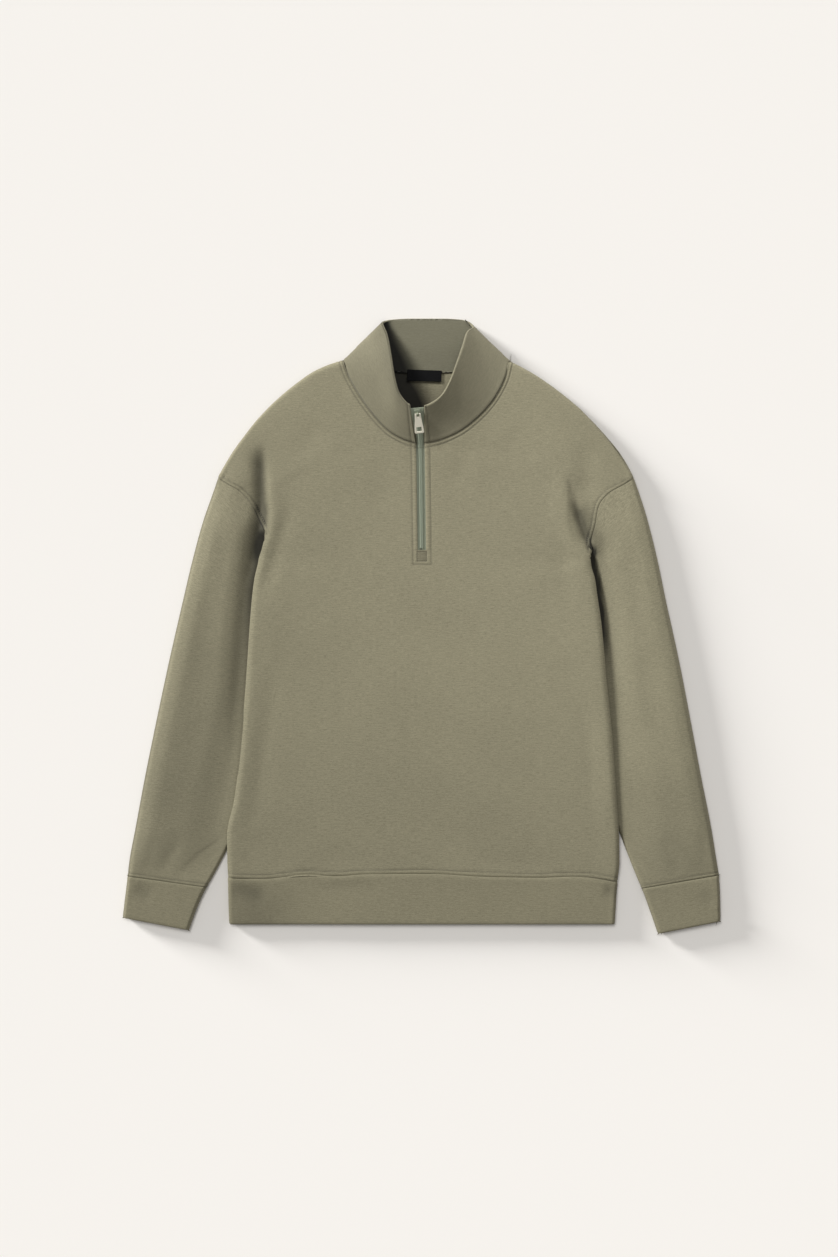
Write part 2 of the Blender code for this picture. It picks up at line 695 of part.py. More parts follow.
def collar_front(side):
    """The collar's sections in front, as (bottom, top), with the bottom just inside the neckline."""
    pick = 0 if side < 0 else 1
    neckline = [Vector((row[pick], row[2])) for row in NECKLINE]
    neckline[0].x = zip_x(NECKLINE[0][2]) + side * SLOT_HALF
    sections = []
    table = COLLAR_RIGHT if side < 0 else COLLAR_LEFT
    for i, row in enumerate(table):
        after = neckline[min(i + 1, len(neckline) - 1)]
        before = neckline[max(i - 1, 0)]
        along = (after - before).normalized()
        inward = Vector((-side * along.y, side * along.x))
        low = neckline[i] + inward * 2 * SEAM_GAP
        sections.append((Vector((low.x, low.y, row[0])), Vector(row[1:])))
    return sections


def build_collar():
    behind = [(Vector(row[:3]), Vector(row[3:])) for row in COLLAR_BACK]
    sections = collar_front(-1) + behind + collar_front(1)[::-1]
    grid = []
    for v in COLLAR_UP:
        row = []
        for low, high in sections:
            point = low.lerp(high, v)
            point.z -= COLLAR_BULGE * 4 * v * (1 - v) * min(high.z / COLLAR_STANDS, 1.0)
            row.append(point)
        grid.append(row)
    cloth("collar", grid, DOUBLED, material("scuba"), flip=True)


def zip_frame(y):
    """The zip's face at y: a point on it, and unit vectors along it, across it and out of it."""
    step = 4.0

    def face(at):
        return Vector((zip_x(at), at, table_value(ZIP_LINE, at, value=2)))

    along = (face(y + step) - face(y - step)).normalized()
    across = Vector((along.y, -along.x, 0.0)).normalized()
    return face(y), along, across, across.cross(along)


TAPE_ROWS = (
    (83.0, 13.0),
    (117.0, 13.0),
    (152.0, 13.0),
    (186.0, 13.0),
    (210.0, 13.0),
    (222.0, 12.0),
    (227.0, 4.3),
    (232.0, 4.3),
    (238.0, 4.4),
    (244.0, 4.6),
    (256.0, 5.4),
    (271.0, 7.0),
)


def build_tape(name, side):
    grid = []
    for y, reach in TAPE_ROWS:
        face, _, across, _ = zip_frame(y)
        inner = face + across * side * 0.5 * TAPE_GAP
        outer = face + across * side * reach
        grid.append([inner, inner.lerp(outer, 0.5), outer])
    cloth(name, grid, TAPE_THICK, material("tape"), flip=side < 0)


CHAIN_ROWS = (97.0, 125.0, 155.0, 185.0, 210.0, 222.0, 229.0, 236.0, 244.0, 252.0, 260.5)


def build_chain():
    grid = []
    for y in CHAIN_ROWS:
        face, _, across, out = zip_frame(y)
        crown = face + out * (SEAM_GAP + CHAIN_THICK)
        edge = 0.5 * CHAIN_WIDTH
        row = [crown + across * f * edge - out * CHAIN_ROUND * abs(f) ** 3 for f in (-1, -0.5, 0, 0.5, 1)]
        grid.append(row)
    cloth("zip_chain", grid, CHAIN_THICK - CHAIN_ROUND, material("coil"))


SLIDER_Y = 265.5


def local_box(length, width, height, at, taper=0.0, round_by=0.6):
    """A rounded box in the zip's local frame: x across, y along and z out, in mm."""
    bm = bmesh.new()
    bmesh.ops.create_cube(bm, size=1.0)
    for vert in bm.verts:
        narrow = 1.0 - taper * (0.5 - vert.co.y)
        vert.co = Vector((vert.co.x * width * narrow, vert.co.y * length, vert.co.z * height))
        vert.co = (vert.co + Vector(at)) * MM
    bmesh.ops.bevel(
        bm, geom=bm.edges[:], offset=round_by * MM, offset_type="OFFSET", segments=2, profile=0.5,
        affect="EDGES", material=-1,
    )
    return bm


def zip_matrix(y, lift=0.0, tilt=0.0):
    """The zip's local frame at y in world space, lifted off its face and tipped about its x."""
    face, along, across, out = zip_frame(y)
    turn = Matrix((across, along, out)).transposed().to_4x4()
    return Matrix.Translation((face + out * lift) * MM) @ turn @ Matrix.Rotation(tilt, 4, "X")


def bail_object():
    """The slider's bail: a wire arch standing along the zip, with its feet in the slider."""
    curve = bpy.data.curves.new("bail", "CURVE")
    curve.dimensions = "3D"
    curve.bevel_depth = BAIL_WIRE * MM
    curve.bevel_resolution = 1
    curve.use_fill_caps = True
    path = curve.splines.new("POLY")
    turns = 10
    path.points.add(turns)
    for i in range(turns + 1):
        angle = math.pi * i / turns
        y = BAIL_RADIUS * math.cos(angle)
        z = BAIL_HEIGHT * math.sin(angle) ** 0.6 - 0.4
        path.points[i].co = (0.0, y * MM, z * MM, 1.0)
    wire = bpy.data.objects.new("bail", curve)
    bpy.context.scene.collection.objects.link(wire)
    bpy.context.view_layer.update()
    graph = bpy.context.evaluated_depsgraph_get()
    mesh = bpy.data.meshes.new_from_object(wire.evaluated_get(graph))
    bpy.data.objects.remove(wire)
    bm = bmesh.new()
    bm.from_mesh(mesh)
    bpy.data.meshes.remove(mesh)
    bmesh.ops.remove_doubles(bm, verts=bm.verts[:], dist=1e-6)
    bmesh.ops.recalc_face_normals(bm, faces=bm.faces[:])
    return bm


def build_slider():
    metal = material("metal", roughness=0.3, metallic=1.0)
    body = local_box(SLIDER_LENGTH, SLIDER_WIDTH, SLIDER_THICK, (0, 0, -0.5 * SLIDER_THICK), 0.25)
    slider = add_object("zip_slider", body, metal)
    slider.matrix_world = zip_matrix(SLIDER_Y, SEAM_GAP + SLIDER_THICK)
    bail = bail_object()
    bail_mesh = bpy.data.meshes.new("bail")
    bail.to_mesh(bail_mesh)
    bail.free()
    cutter = bpy.data.objects.new("bail", bail_mesh)
    CUTTERS.objects.link(cutter)
    cutter.matrix_world = slider.matrix_world
    cutter.hide_render = True
    cutter.display_type = "WIRE"
    join = slider.modifiers.new("Bail", "BOOLEAN")
    join.operation = "UNION"
    join.object = cutter


PULL_AXIS_UP = 1.3
PULL_REST_TILT = math.radians(-5.2)
PULL_EYE_BAR = 0.45


def build_pull():
    """The pull tab, with its origin on its hinge, which crosses the zip under the bail."""
    metal = material("metal", roughness=0.3, metallic=1.0)
    tab = bmesh.new()
    half_top, half_end = 0.5 * PULL_TOP_WIDTH, 0.5 * PULL_END_WIDTH
    outline = [
        (-half_top + 1.0, PULL_EYE_BAR),
        (half_top - 1.0, PULL_EYE_BAR),
        (half_top, PULL_EYE_BAR - 1.0),
        (half_end, 1.0 - PULL_LENGTH),
        (half_end - 1.0, -PULL_LENGTH),
        (1.0 - half_end, -PULL_LENGTH),
        (-half_end, 1.0 - PULL_LENGTH),
        (-half_top, PULL_EYE_BAR - 1.0),
    ]
    under = -0.5 * PULL_THICK
    base = tab.faces.new([tab.verts.new(Vector((x, y, under)) * MM) for x, y in outline])
    made = bmesh.ops.extrude_face_region(tab, geom=[base])["geom"]
    moved = [item for item in made if isinstance(item, bmesh.types.BMVert)]
    bmesh.ops.translate(tab, verts=moved, vec=(0, 0, PULL_THICK * MM))
    bmesh.ops.recalc_face_normals(tab, faces=tab.faces[:])
    pull = add_object("zip_pull", tab, metal)
    pull.matrix_world = zip_matrix(SLIDER_Y, SEAM_GAP + SLIDER_THICK + PULL_AXIS_UP, PULL_REST_TILT)
    for name, length, width, middle in (("eye", 3.6, 3.2, -1.9), ("window", 5.4, 6.2, -19.7)):
        hole = add_object(name, local_box(length, width, 4.0, (0, middle, 0), 0.0, 1.0), metal)
        PARTS.objects.unlink(hole)
        CUTTERS.objects.link(hole)
        hole.hide_render = True
        hole.display_type = "WIRE"
        hole.matrix_world = pull.matrix_world
        cut = pull.modifiers.new(name, "BOOLEAN")
        cut.operation = "DIFFERENCE"
        cut.object = hole


def build_label():
    box = local_box(LABEL_HEIGHT, LABEL_WIDTH, LABEL_THICK, (0, 0, 0), 0.0, 0.12)
    label = add_object("neck_label", box, material("label", roughness=0.7))
    place = Vector((LABEL_X, LABEL_Y, DOUBLED + SEAM_GAP + 0.5 * LABEL_THICK)) * MM
    label.matrix_world = Matrix.Translation(place) @ Matrix.Rotation(LABEL_TILT, 4, "Z")


PARTS = bpy.data.collections.new("scuba_sweatshirt")
CUTTERS = bpy.data.collections.new("cutters")


def main():
    for obj in list(bpy.data.objects):
        bpy.data.objects.remove(obj)
    bpy.context.scene.collection.children.link(PARTS)
    bpy.context.scene.collection.children.link(CUTTERS)
    CUTTERS.hide_render = True
    build_front()
    build_back()
    build_sleeve("sleeve_right", SLEEVE_RIGHT, -1)
    build_sleeve("sleeve_left", SLEEVE_LEFT, 1)
    build_cuff("cuff_right", CUFF_RIGHT, -1)
    build_cuff("cuff_left", CUFF_LEFT, 1)
    build_hem()
    build_collar()
    build_tape("zip_tape_right", -1)
    build_tape("zip_tape_left", 1)
    build_chain()
    build_slider()
    build_pull()
    build_label()


main()
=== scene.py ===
"""A half-zip scuba sweatshirt laid flat, face up, with its neck towards +Y. Metres, +Z up.

Each cloth piece follows its solid's own sections on a finer grid, with its creases, seam grooves and
stitches worked in. The tables are in millimetres. Left and right are the wearer's, so the right
side of the garment lies towards -X.
"""

import json
import math

import bmesh
import bpy
from mathutils import Matrix, Vector
from mathutils.bvhtree import BVHTree
from mathutils.kdtree import KDTree

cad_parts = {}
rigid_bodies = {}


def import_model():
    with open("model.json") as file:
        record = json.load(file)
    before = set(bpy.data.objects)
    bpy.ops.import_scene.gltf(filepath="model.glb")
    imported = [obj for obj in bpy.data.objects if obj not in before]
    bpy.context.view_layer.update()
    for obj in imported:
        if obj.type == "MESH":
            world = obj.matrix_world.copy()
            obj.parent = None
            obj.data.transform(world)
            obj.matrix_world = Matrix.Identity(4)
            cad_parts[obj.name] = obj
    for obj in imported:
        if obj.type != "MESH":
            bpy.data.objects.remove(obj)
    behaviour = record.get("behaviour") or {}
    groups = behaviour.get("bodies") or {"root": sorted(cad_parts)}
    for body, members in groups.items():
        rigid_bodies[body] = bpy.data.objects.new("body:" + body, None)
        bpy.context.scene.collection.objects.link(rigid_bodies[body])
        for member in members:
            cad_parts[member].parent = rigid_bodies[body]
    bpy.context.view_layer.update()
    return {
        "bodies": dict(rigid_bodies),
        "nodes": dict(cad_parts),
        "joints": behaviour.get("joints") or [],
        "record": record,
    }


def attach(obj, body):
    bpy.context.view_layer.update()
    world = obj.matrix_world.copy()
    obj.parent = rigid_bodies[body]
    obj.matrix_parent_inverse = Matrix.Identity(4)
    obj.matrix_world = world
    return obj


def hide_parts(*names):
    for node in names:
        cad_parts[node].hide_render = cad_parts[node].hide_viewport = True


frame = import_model()

MM = 0.001
CLOTH = 1.6
DOUBLED = 3.0
SEAM_GAP = 0.35
# How much shade is painted along the seams.
SEAM_SHADE = 0.3
FRONT_TOP = 7.0
SEAM_TOP = 4.9
BACK_EDGE = 2.5
BAND_TOP = 8.8
SLEEVE_TOP = 9.6
SLEEVE_INNER_TOP = 5.2
UNDERFOLD = 5.9
SLOT_HALF = 5.0
SLOT_END_Y = 95.0

# Shoulder outline, from the neck point to the shoulder tip: x on the right, x on the left, y.
SHOULDER = (
    (-97.0, 110.0, 332.5),
    (-118.8, 123.0, 326.0),
    (-141.0, 144.0, 313.8),
    (-175.0, 178.8, 288.8),
    (-200.0, 207.5, 263.8),
    (-221.0, 231.0, 238.8),
    (-238.8, 251.0, 213.8),
    (-254.0, 266.2, 186.2),
)

# Front neckline, from the zip to the neck point: x on the right, x on the left, y.
NECKLINE = (
    (-5.5, 4.5, 229.0),
    (-18.5, 22.0, 232.5),
    (-37.5, 46.0, 242.5),
    (-57.5, 72.0, 262.5),
    (-75.0, 92.0, 286.0),
    (-90.0, 105.0, 312.5),
    (-97.0, 110.0, 332.5),
)

# Hem seam: x, y.
HEM_SEAM = (
    (-242.0, -313.8),
    (-197.5, -315.6),
    (-141.0, -310.5),
    (-106.0, -312.5),
    (-71.0, -310.2),
    (10.0, -309.6),
    (86.0, -313.4),
    (151.0, -314.4),
    (190.0, -312.8),
    (246.0, -319.5),
)

# Front sections: the y at the zip, then for ridge, brink, hollow and seam their x and z, and the
# seam's own y. The ridge is the highest line near the side, the brink is where the cloth turns
# over, and the hollow is the valley beside it or, lower down, the fold's underside.
FRONT_COLUMNS = "y rx rz bx bz hx hz sx sy sz".split()
FRONT_RIGHT = (
    (-308.0, -235.0, 9.4, -240.5, 6.2, -241.0, 5.4, -240.9, -313.6, 4.9),
    (-292.0, -236.0, 10.2, -242.3, 6.4, -242.2, 5.4, -241.4, -292.0, 4.9),
    (-262.0, -236.5, 11.0, -242.8, 7.8, -240.0, 5.9, -231.0, -262.0, 5.9),
    (-217.5, -227.0, 12.0, -233.8, 8.7, -229.0, 5.9, -208.0, -217.5, 5.9),
    (-142.5, -217.5, 12.5, -224.8, 9.1, -219.0, 5.9, -187.0, -142.5, 5.9),
    (-67.5, -211.5, 12.5, -218.8, 9.1, -213.0, 5.9, -170.0, -67.5, 5.9),
    (7.5, -206.5, 12.5, -213.6, 9.1, -208.0, 5.9, -153.0, 7.5, 5.9),
    (57.5, -201.0, 12.6, -208.6, 9.2, -203.0, 5.9, -148.0, 57.5, 5.9),
    (95.0, -194.0, 12.8, -202.0, 9.3, -197.5, 6.0, -163.5, 82.5, 5.9),
    (108.0, -187.5, 12.8, -194.5, 10.0, -192.5, 7.4, -181.0, 98.0, 6.2),
    (135.0, -185.5, 12.6, -192.5, 11.0, -195.5, 9.0, -195.5, 119.5, 7.6),
    (170.0, -185.5, 12.2, -194.0, 10.6, -201.0, 8.6, -203.3, 134.0, 8.4),
    (206.0, -186.0, 11.6, -195.5, 10.2, -204.0, 8.5, -214.8, 156.0, 9.0),
    (229.0, -186.5, 11.0, -196.0, 9.9, -205.0, 8.8, -229.0, 170.0, 9.6),
)
FRONT_LEFT = (
    (-308.0, 240.0, 9.4, 244.8, 6.2, 245.3, 5.4, 245.2, -319.2, 4.9),
    (-292.0, 242.0, 10.2, 248.1, 6.4, 248.0, 5.4, 247.0, -295.0, 4.9),
    (-262.0, 241.5, 11.0, 247.5, 7.8, 245.0, 5.9, 240.5, -262.0, 5.9),
    (-217.5, 237.0, 12.0, 244.4, 8.7, 239.5, 5.9, 222.0, -217.5, 5.9),
    (-142.5, 232.0, 12.5, 239.5, 9.1, 234.0, 5.9, 199.0, -142.5, 5.9),
    (-67.5, 224.5, 12.5, 231.8, 9.1, 226.5, 5.9, 177.0, -67.5, 5.9),
    (7.5, 217.5, 12.5, 225.0, 9.1, 219.5, 5.9, 158.5, 7.5, 5.9),
    (57.5, 207.5, 12.6, 215.0, 9.2, 209.5, 5.9, 154.0, 57.5, 5.9),
    (95.0, 199.5, 12.8, 207.8, 9.4, 203.0, 6.4, 176.0, 76.0, 6.2),
    (108.0, 190.5, 12.8, 199.5, 10.6, 202.5, 8.2, 203.0, 90.0, 6.9),
    (135.0, 184.5, 12.6, 193.0, 10.8, 200.5, 8.8, 211.8, 108.0, 8.0),
    (170.0, 181.0, 12.2, 189.0, 10.5, 198.0, 8.6, 217.8, 127.0, 8.8),
    (206.0, 180.5, 11.6, 188.0, 10.2, 197.0, 8.5, 221.5, 148.0, 9.2),
    (229.0, 181.0, 11.0, 188.5, 9.9, 198.0, 8.8, 236.0, 167.0, 9.7),
)

# Sleeve sections from the shoulder to the cuff: the outer edge's x and y, the inner edge's x and y,
# how far across the dip beside the body lies, its height, and the height near the inner edge.
SLEEVE_RIGHT = (
    (-262.0, 162.5, -150.5, 50.0, 0.48, 8.3, 5.2),
    (-272.5, 132.5, -151.8, 41.0, 0.51, 7.4, 5.2),
    (-286.2, 82.5, -154.3, 26.0, 0.56, 5.9, 5.2),
    (-298.0, 32.5, -158.8, 3.0, 0.58, 5.5, 5.2),
    (-315.2, -42.5, -172.5, -60.0, 0.69, 5.4, 5.2),
    (-331.2, -117.5, -191.0, -130.0, 0.76, 5.4, 5.2),
    (-346.4, -192.5, -210.5, -200.0, 0.82, 5.4, 5.2),
    (-358.0, -255.0, -230.5, -253.0, 0.88, 5.4, 5.2),
    (-365.0, -292.5, -249.5, -293.0, 0.60, 7.6, 6.4),
    (-367.3, -312.0, -267.5, -326.0, 0.50, 8.6, 8.6),
)
SLEEVE_LEFT = (
    (274.5, 162.5, 157.0, 50.0, 0.49, 8.3, 5.2),
    (283.8, 132.5, 158.5, 40.0, 0.52, 7.0, 5.2),
    (296.2, 82.5, 160.6, 26.0, 0.56, 5.9, 5.2),
    (306.6, 32.5, 164.5, -1.0, 0.55, 5.5, 5.2),
    (323.0, -42.5, 180.0, -62.0, 0.66, 5.4, 5.2),
    (337.5, -117.5, 203.0, -135.0, 0.75, 5.4, 5.2),
    (351.6, -192.5, 226.0, -202.0, 0.86, 5.4, 5.2),
    (363.4, -252.0, 246.5, -254.0, 0.80, 6.2, 5.4),
    (370.0, -292.5, 263.5, -298.0, 0.60, 8.0, 7.2),
    (373.0, -310.8, 275.6, -327.5, 0.50, 8.6, 8.6),
)

# Collar sections from the zip out to the neck point, one for each row of the neckline: the height of
# the bottom edge, and the top edge's x, y and z.
COLLAR_RIGHT = (
    (9.4, -14.0, 274.0, 30.0),
    (9.8, -22.5, 281.5, 31.0),
    (10.2, -30.0, 294.0, 31.0),
    (10.4, -35.0, 316.0, 29.5),
    (10.4, -38.0, 339.0, 26.0),
    (9.8, -42.5, 364.0, 18.5),
    (5.6, -48.5, 380.2, 9.6),
)
COLLAR_LEFT = (
    (9.4, 4.5, 273.0, 30.5),
    (9.8, 26.0, 286.0, 31.5),
    (10.2, 36.5, 304.0, 31.0),
    (10.4, 45.0, 328.0, 29.5),
    (10.4, 52.5, 350.0, 26.0),
    (9.8, 58.5, 368.0, 18.5),
    (5.6, 65.5, 374.5, 9.6),
)

# The collar behind, from the right neck point to the left: bottom x, y, z and top x, y, z.
COLLAR_BACK = (
    (-92.6, 329.5, 1.6, -42.0, 383.4, 2.4),
    (-74.0, 324.3, 0.0, -32.0, 384.2, 0.4),
    (-40.0, 318.2, 0.0, -15.0, 385.0, 0.0),
    (4.0, 315.2, 0.0, 7.5, 385.0, 0.0),
    (50.0, 318.2, 0.0, 27.0, 385.0, 0.0),
    (85.0, 324.3, 0.0, 46.0, 384.2, 0.4),
    (105.6, 329.5, 1.6, 59.0, 382.0, 2.4),
)

# Back neckline: x, y.
BACK_NECK = (
    (-97.0, 332.1),
    (-92.8, 329.7),
    (-74.0, 324.7),
    (-40.0, 318.7),
    (4.0, 315.7),
    (50.0, 318.7),
    (85.0, 324.7),
    (105.8, 329.7),
    (110.0, 332.1),
)

# Cuffs, seam first: outer x and y, inner x and y.
CUFF_RIGHT = (
    (-367.4, -312.5, -267.8, -326.5),
    (-370.0, -333.0, -277.0, -346.0),
    (-373.8, -365.0, -289.8, -381.0),
)
CUFF_LEFT = (
    (373.1, -311.3, 275.9, -328.0),
    (374.6, -335.0, 284.5, -352.0),
    (375.2, -369.6, 296.0, -385.4),
)

# Hem band, seam first: right edge x and y, left edge x and y.
HEM_BAND = (
    (-241.6, -314.0, 246.0, -319.8),
    (-241.0, -345.0, 244.0, -347.0),
    (-240.0, -373.4, 242.6, -373.4),
)

# The zip's line, from its bottom end to the top of the collar: y, x, height of the tape's face.
ZIP_LINE = (
    (83.0, 1.2, 5.0),
    (150.0, 0.4, 5.0),
    (200.0, -0.3, 5.1),
    (222.0, -0.8, 5.9),
    (232.0, -1.0, 9.0),
    (244.0, -2.2, 14.2),
    (273.0, -5.2, 28.0),
)


def gentle(before, after, span_before, span_after):
    """A slope between two others that never overshoots: the weighted harmonic mean, or 0 at a turn."""
    if before * after <= 0:
        return 0.0
    a = 2 * span_after + span_before
    b = span_after + 2 * span_before
    return (a + b) / (a / before + b / after)


def end_slope(near, far, span_near, span_far):
    """The slope at a line's end, which keeps to its last span's direction."""
    slope = ((2 * span_near + span_far) * near - span_near * far) / (span_near + span_far)
    if slope * near <= 0:
        return 0.0
    return slope if abs(slope) < 3 * abs(near) else 3 * near


def spline(points, places):
    """A smooth line through the points that never overshoots. Place 1.5 is midway in the second span."""
    points = [Vector(point) for point in points]
    if len(points) == 2:
        return [points[0].lerp(points[1], place) for place in places]
    lengths = [max((b - a).length, 1e-6) for a, b in zip(points, points[1:])]
    chords = [(b - a) / length for a, b, length in zip(points, points[1:], lengths)]
    pairs = zip(chords[0], chords[1])
    slopes = [Vector(end_slope(*pair, lengths[0], lengths[1]) for pair in pairs)]
    for i in range(1, len(points) - 1):
        pairs = zip(chords[i - 1], chords[i])
        slopes.append(Vector(gentle(*pair, lengths[i - 1], lengths[i]) for pair in pairs))
    pairs = zip(chords[-1], chords[-2])
    slopes.append(Vector(end_slope(*pair, lengths[-1], lengths[-2]) for pair in pairs))
    line = []
    for place in places:
        i = min(int(place), len(points) - 2)
        t = place - i
        line.append(
            points[i] * (2 * t**3 - 3 * t**2 + 1)
            + slopes[i] * (lengths[i] * (t**3 - 2 * t**2 + t))
            + points[i + 1] * (3 * t**2 - 2 * t**3)
            + slopes[i + 1] * (lengths[i] * (t**3 - t**2))
        )
    return line


def graded(*parts):
    """Places for spline(): for each span its count of steps, and how long its first and last are."""
    places = [0.0]
    for i, (count, first, last) in enumerate(parts):
        sizes = [first + (last - first) * (k + 0.5) / count for k in range(count)]
        for k in range(count):
            places.append(i + sum(sizes[: k + 1]) / sum(sizes))
    return places


def even(*counts):
    return graded(*((count, 1, 1) for count in counts))


def table_value(table, at, key=0, value=1):
    """The table's value at a key, smoothly, with its rows in either order of the key."""
    rows = sorted(table, key=lambda row: row[key])
    at = min(max(at, rows[0][key]), rows[-1][key])
    line = KEPT_LINES.get((id(table), key, value))
    if line is None:
        knots = [(row[key], row[value], 0.0) for row in rows]
        line = spline(knots, even(*[8] * (len(rows) - 1)))
        KEPT_LINES[(id(table), key, value)] = line
    for a, b in zip(line, line[1:]):
        if at <= b.x:
            share = (at - a.x) / max(b.x - a.x, 1e-9)
            return a.y + (b.y - a.y) * share
    return line[-1].y


KEPT_LINES = {}


def loft(rows, places):
    """Rows of equal length joined by smooth lines along, as a grid of points."""
    lines = [spline(column, places) for column in zip(*rows)]
    return [list(row) for row in zip(*lines)]


def zip_x(y):
    return table_value(ZIP_LINE, y)


def hem_y(x):
    return table_value(HEM_SEAM, x)


def back_hem_y(x):
    (right_x, right_y), (left_x, left_y) = HEM_SEAM[0], HEM_SEAM[-1]
    return right_y + (left_y - right_y) * (x - right_x) / (left_x - right_x)


def shoulder_y(x, side):
    return table_value(SHOULDER, x, key=0 if side < 0 else 1, value=2)


def bell(distance, width):
    return math.exp(-((distance / width) ** 2))


def rise(value, low, high):
    """0 below low, 1 above high, and smooth between."""
    f = min(max((value - low) / (high - low), 0.0), 1.0)
    return f * f * (3 - 2 * f)


class Seam:
    """A line on the cloth, to measure distances from. Its points are in mm, and only x and y count."""

    def __init__(self, points):
        self.points = []
        for a, b in zip(points, points[1:]):
            a, b = Vector(a[:2]), Vector(b[:2])
            count = max(int((b - a).length / 0.5), 1)
            self.points += [a.lerp(b, k / count) for k in range(count)]
        self.points.append(Vector(points[-1][:2]))
        self.tree = KDTree(len(self.points))
        for i, point in enumerate(self.points):
            self.tree.insert((point.x, point.y, 0.0), i)
        self.tree.balance()

    def __call__(self, point):
        return self.tree.find((point.x, point.y, 0.0))[2]

    def offset(self, distance, start=0.0, end=0.0):
        """The line moved to its left by a distance, with its ends left off."""
        line = []
        count = len(self.points)
        for i, point in enumerate(self.points):
            ahead = self.points[min(i + 6, count - 1)] - self.points[max(i - 6, 0)]
            ahead.normalize()
            line.append(point + Vector((-ahead.y, ahead.x)) * distance)
        first, last = int(start / 0.5), count - int(end / 0.5)
        return line[first:last]


def groove(distance, at, depth=0.5, width=0.75):
    """A row of stitches pulls the cloth down along a line."""
    return -depth * bell(distance - at, width)


def trough(point, fold):
    """A soft crease with faded ends: x, y at both ends, half-width, depth, perhaps its right side's width."""
    x1, y1, x2, y2, width, depth = fold[:6]
    along = Vector((x2 - x1, y2 - y1))
    length = along.length
    along /= length
    away = Vector((point.x - x1, point.y - y1))
    f = away.dot(along) / length
    side = away.x * along.y - away.y * along.x
    if len(fold) > 6 and side * depth * (y1 - y2) < 0:
        width = fold[6]
    if abs(side) > 3 * width or f < -0.5 or f > 1.5:
        return 0.0
    fade = rise(f, -0.25, 0.25) * (1 - rise(f, 0.75, 1.25))
    return -depth * fade * bell(side, width)


# Broad soft shades painted on the cloth, which stand for light falling off towards the foot and the sides:
# x, y at both ends, half-width and how dark. Without them the cloth is one even colour.
BROAD_SHADES = (
    (-255.0, 0.0, -322.0, -260.0, 42.0, 0.5),
    (300.0, -190.0, 330.0, -330.0, 40.0, 0.22),
    (-210.0, -330.0, -206.0, -420.0, 46.0, 0.7),
)
# How dark at the foot, and how far below the middle the shade starts and is full.
FOOT_SHADE = (0.3, 60.0, 280.0)


def broad_shade(point):
    dark, high, low = FOOT_SHADE
    return dark * rise(-point.y, high, low) - sum(trough(point, shade) for shade in BROAD_SHADES)


def pressed(grid, shift):
    """Moves each point of a grid along the surface's normal by shift(point, i, j), in mm."""
    normals = []
    for i, row in enumerate(grid):
        up, down = grid[min(i + 1, len(grid) - 1)], grid[max(i - 1, 0)]
        line = []
        for j in range(len(row)):
            across = row[min(j + 1, len(row) - 1)] - row[max(j - 1, 0)]
            along = up[j] - down[j]
            normal = across.cross(along)
            line.append(normal.normalized() if normal.length > 1e-9 else Vector((0, 0, 1)))
        normals.append(line)
    return [
        [p + normals[i][j] * shift(p, i, j) for j, p in enumerate(row)]
        for i, row in enumerate(grid)
    ]


def new_piece(name, bm, finish, body="garment", smooth=True):
    mesh = bpy.data.meshes.new(name)
    bm.to_mesh(mesh)
    bm.free()
    if smooth:
        mesh.shade_smooth()
        mesh.set_sharp_from_angle(angle=math.radians(50))
    mesh.materials.append(finish)
    piece = bpy.data.objects.new(name, mesh)
    bpy.context.scene.collection.objects.link(piece)
    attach(piece, body)
    return piece


def cloth(name, grid, wall, finish, places=None, ring=False, flip=False, hole=None, edge=0.5, painted_shade_at=None):
    """A panel on a grid of its outer face's points in mm, with its wall inwards and its edges rounded.

    places gives each point's place on the flat cloth, for the knit to follow. The function given for each
    point (i, j) tells how much shade is painted into the cloth's colour there: along seam and stitch grooves,
    in folds and crevices, and near the throat. The broad painted shades are added to it."""
    rows, columns = len(grid), len(grid[0])
    bm = bmesh.new()
    on_cloth = bm.loops.layers.uv.new("cloth")
    painted_shade = bm.verts.layers.float.new("painted_shade")
    bmesh.ops.create_grid(bm, x_segments=columns - 1, y_segments=rows - 1, size=0.5)
    order = sorted(bm.verts, key=lambda v: (round((v.co.y + 0.5) * (rows - 1)), v.co.x))
    where = {}
    for k, vert in enumerate(order):
        i, j = divmod(k, columns)
        vert.co = grid[i][j] * MM
        # Painted shade: stored on each vertex, it darkens the knit's base colour.
        vert[painted_shade] = (painted_shade_at(i, j) if painted_shade_at else 0.0) + broad_shade(grid[i][j])
        where[vert] = (i, j)
    left_out = []
    for face in bm.faces:
        spots = [where[vert] for vert in face.verts]
        for loop, (i, j) in zip(face.loops, spots):
            loop[on_cloth].uv = places[i][j].xy * MM
        if hole and hole(min(i for i, j in spots), min(j for i, j in spots)):
            left_out.append(face)
    bmesh.ops.delete(bm, geom=left_out, context="FACES")
    if ring:
        bmesh.ops.remove_doubles(bm, verts=bm.verts[:], dist=1e-7)
    if flip:
        bmesh.ops.reverse_faces(bm, faces=bm.faces[:])
    piece = new_piece(name, bm, finish)
    solidify = piece.modifiers.new("Wall", "SOLIDIFY")
    solidify.thickness = wall * MM
    solidify.offset = -1.0
    if edge:
        bevel = piece.modifiers.new("Edge", "BEVEL")
        bevel.width = edge * MM
        bevel.segments = 2
        bevel.limit_method = "ANGLE"
        bevel.angle_limit = math.radians(60)
        bevel.use_clamp_overlap = False
    return piece


def lengths_on_cloth(grid, from_column=0, along_axis=None):
    """Each point's place on the flat cloth: its distance along its row, and along the grid."""
    places = []
    for i, row in enumerate(grid):
        across = [0.0]
        for a, b in zip(row, row[1:]):
            across.append(across[-1] + (b - a).length)
        start = row[from_column].x if along_axis is None else 0.0
        line = []
        for j, point in enumerate(row):
            v = point.y if along_axis is None else along_axis[i]
            line.append(Vector((start + across[j] - across[from_column], v)))
        places.append(line)
    return places


def run_along(grid, column):
    run = [0.0]
    for a, b in zip(grid, grid[1:]):
        run.append(run[-1] + (b[column] - a[column]).length)
    return run


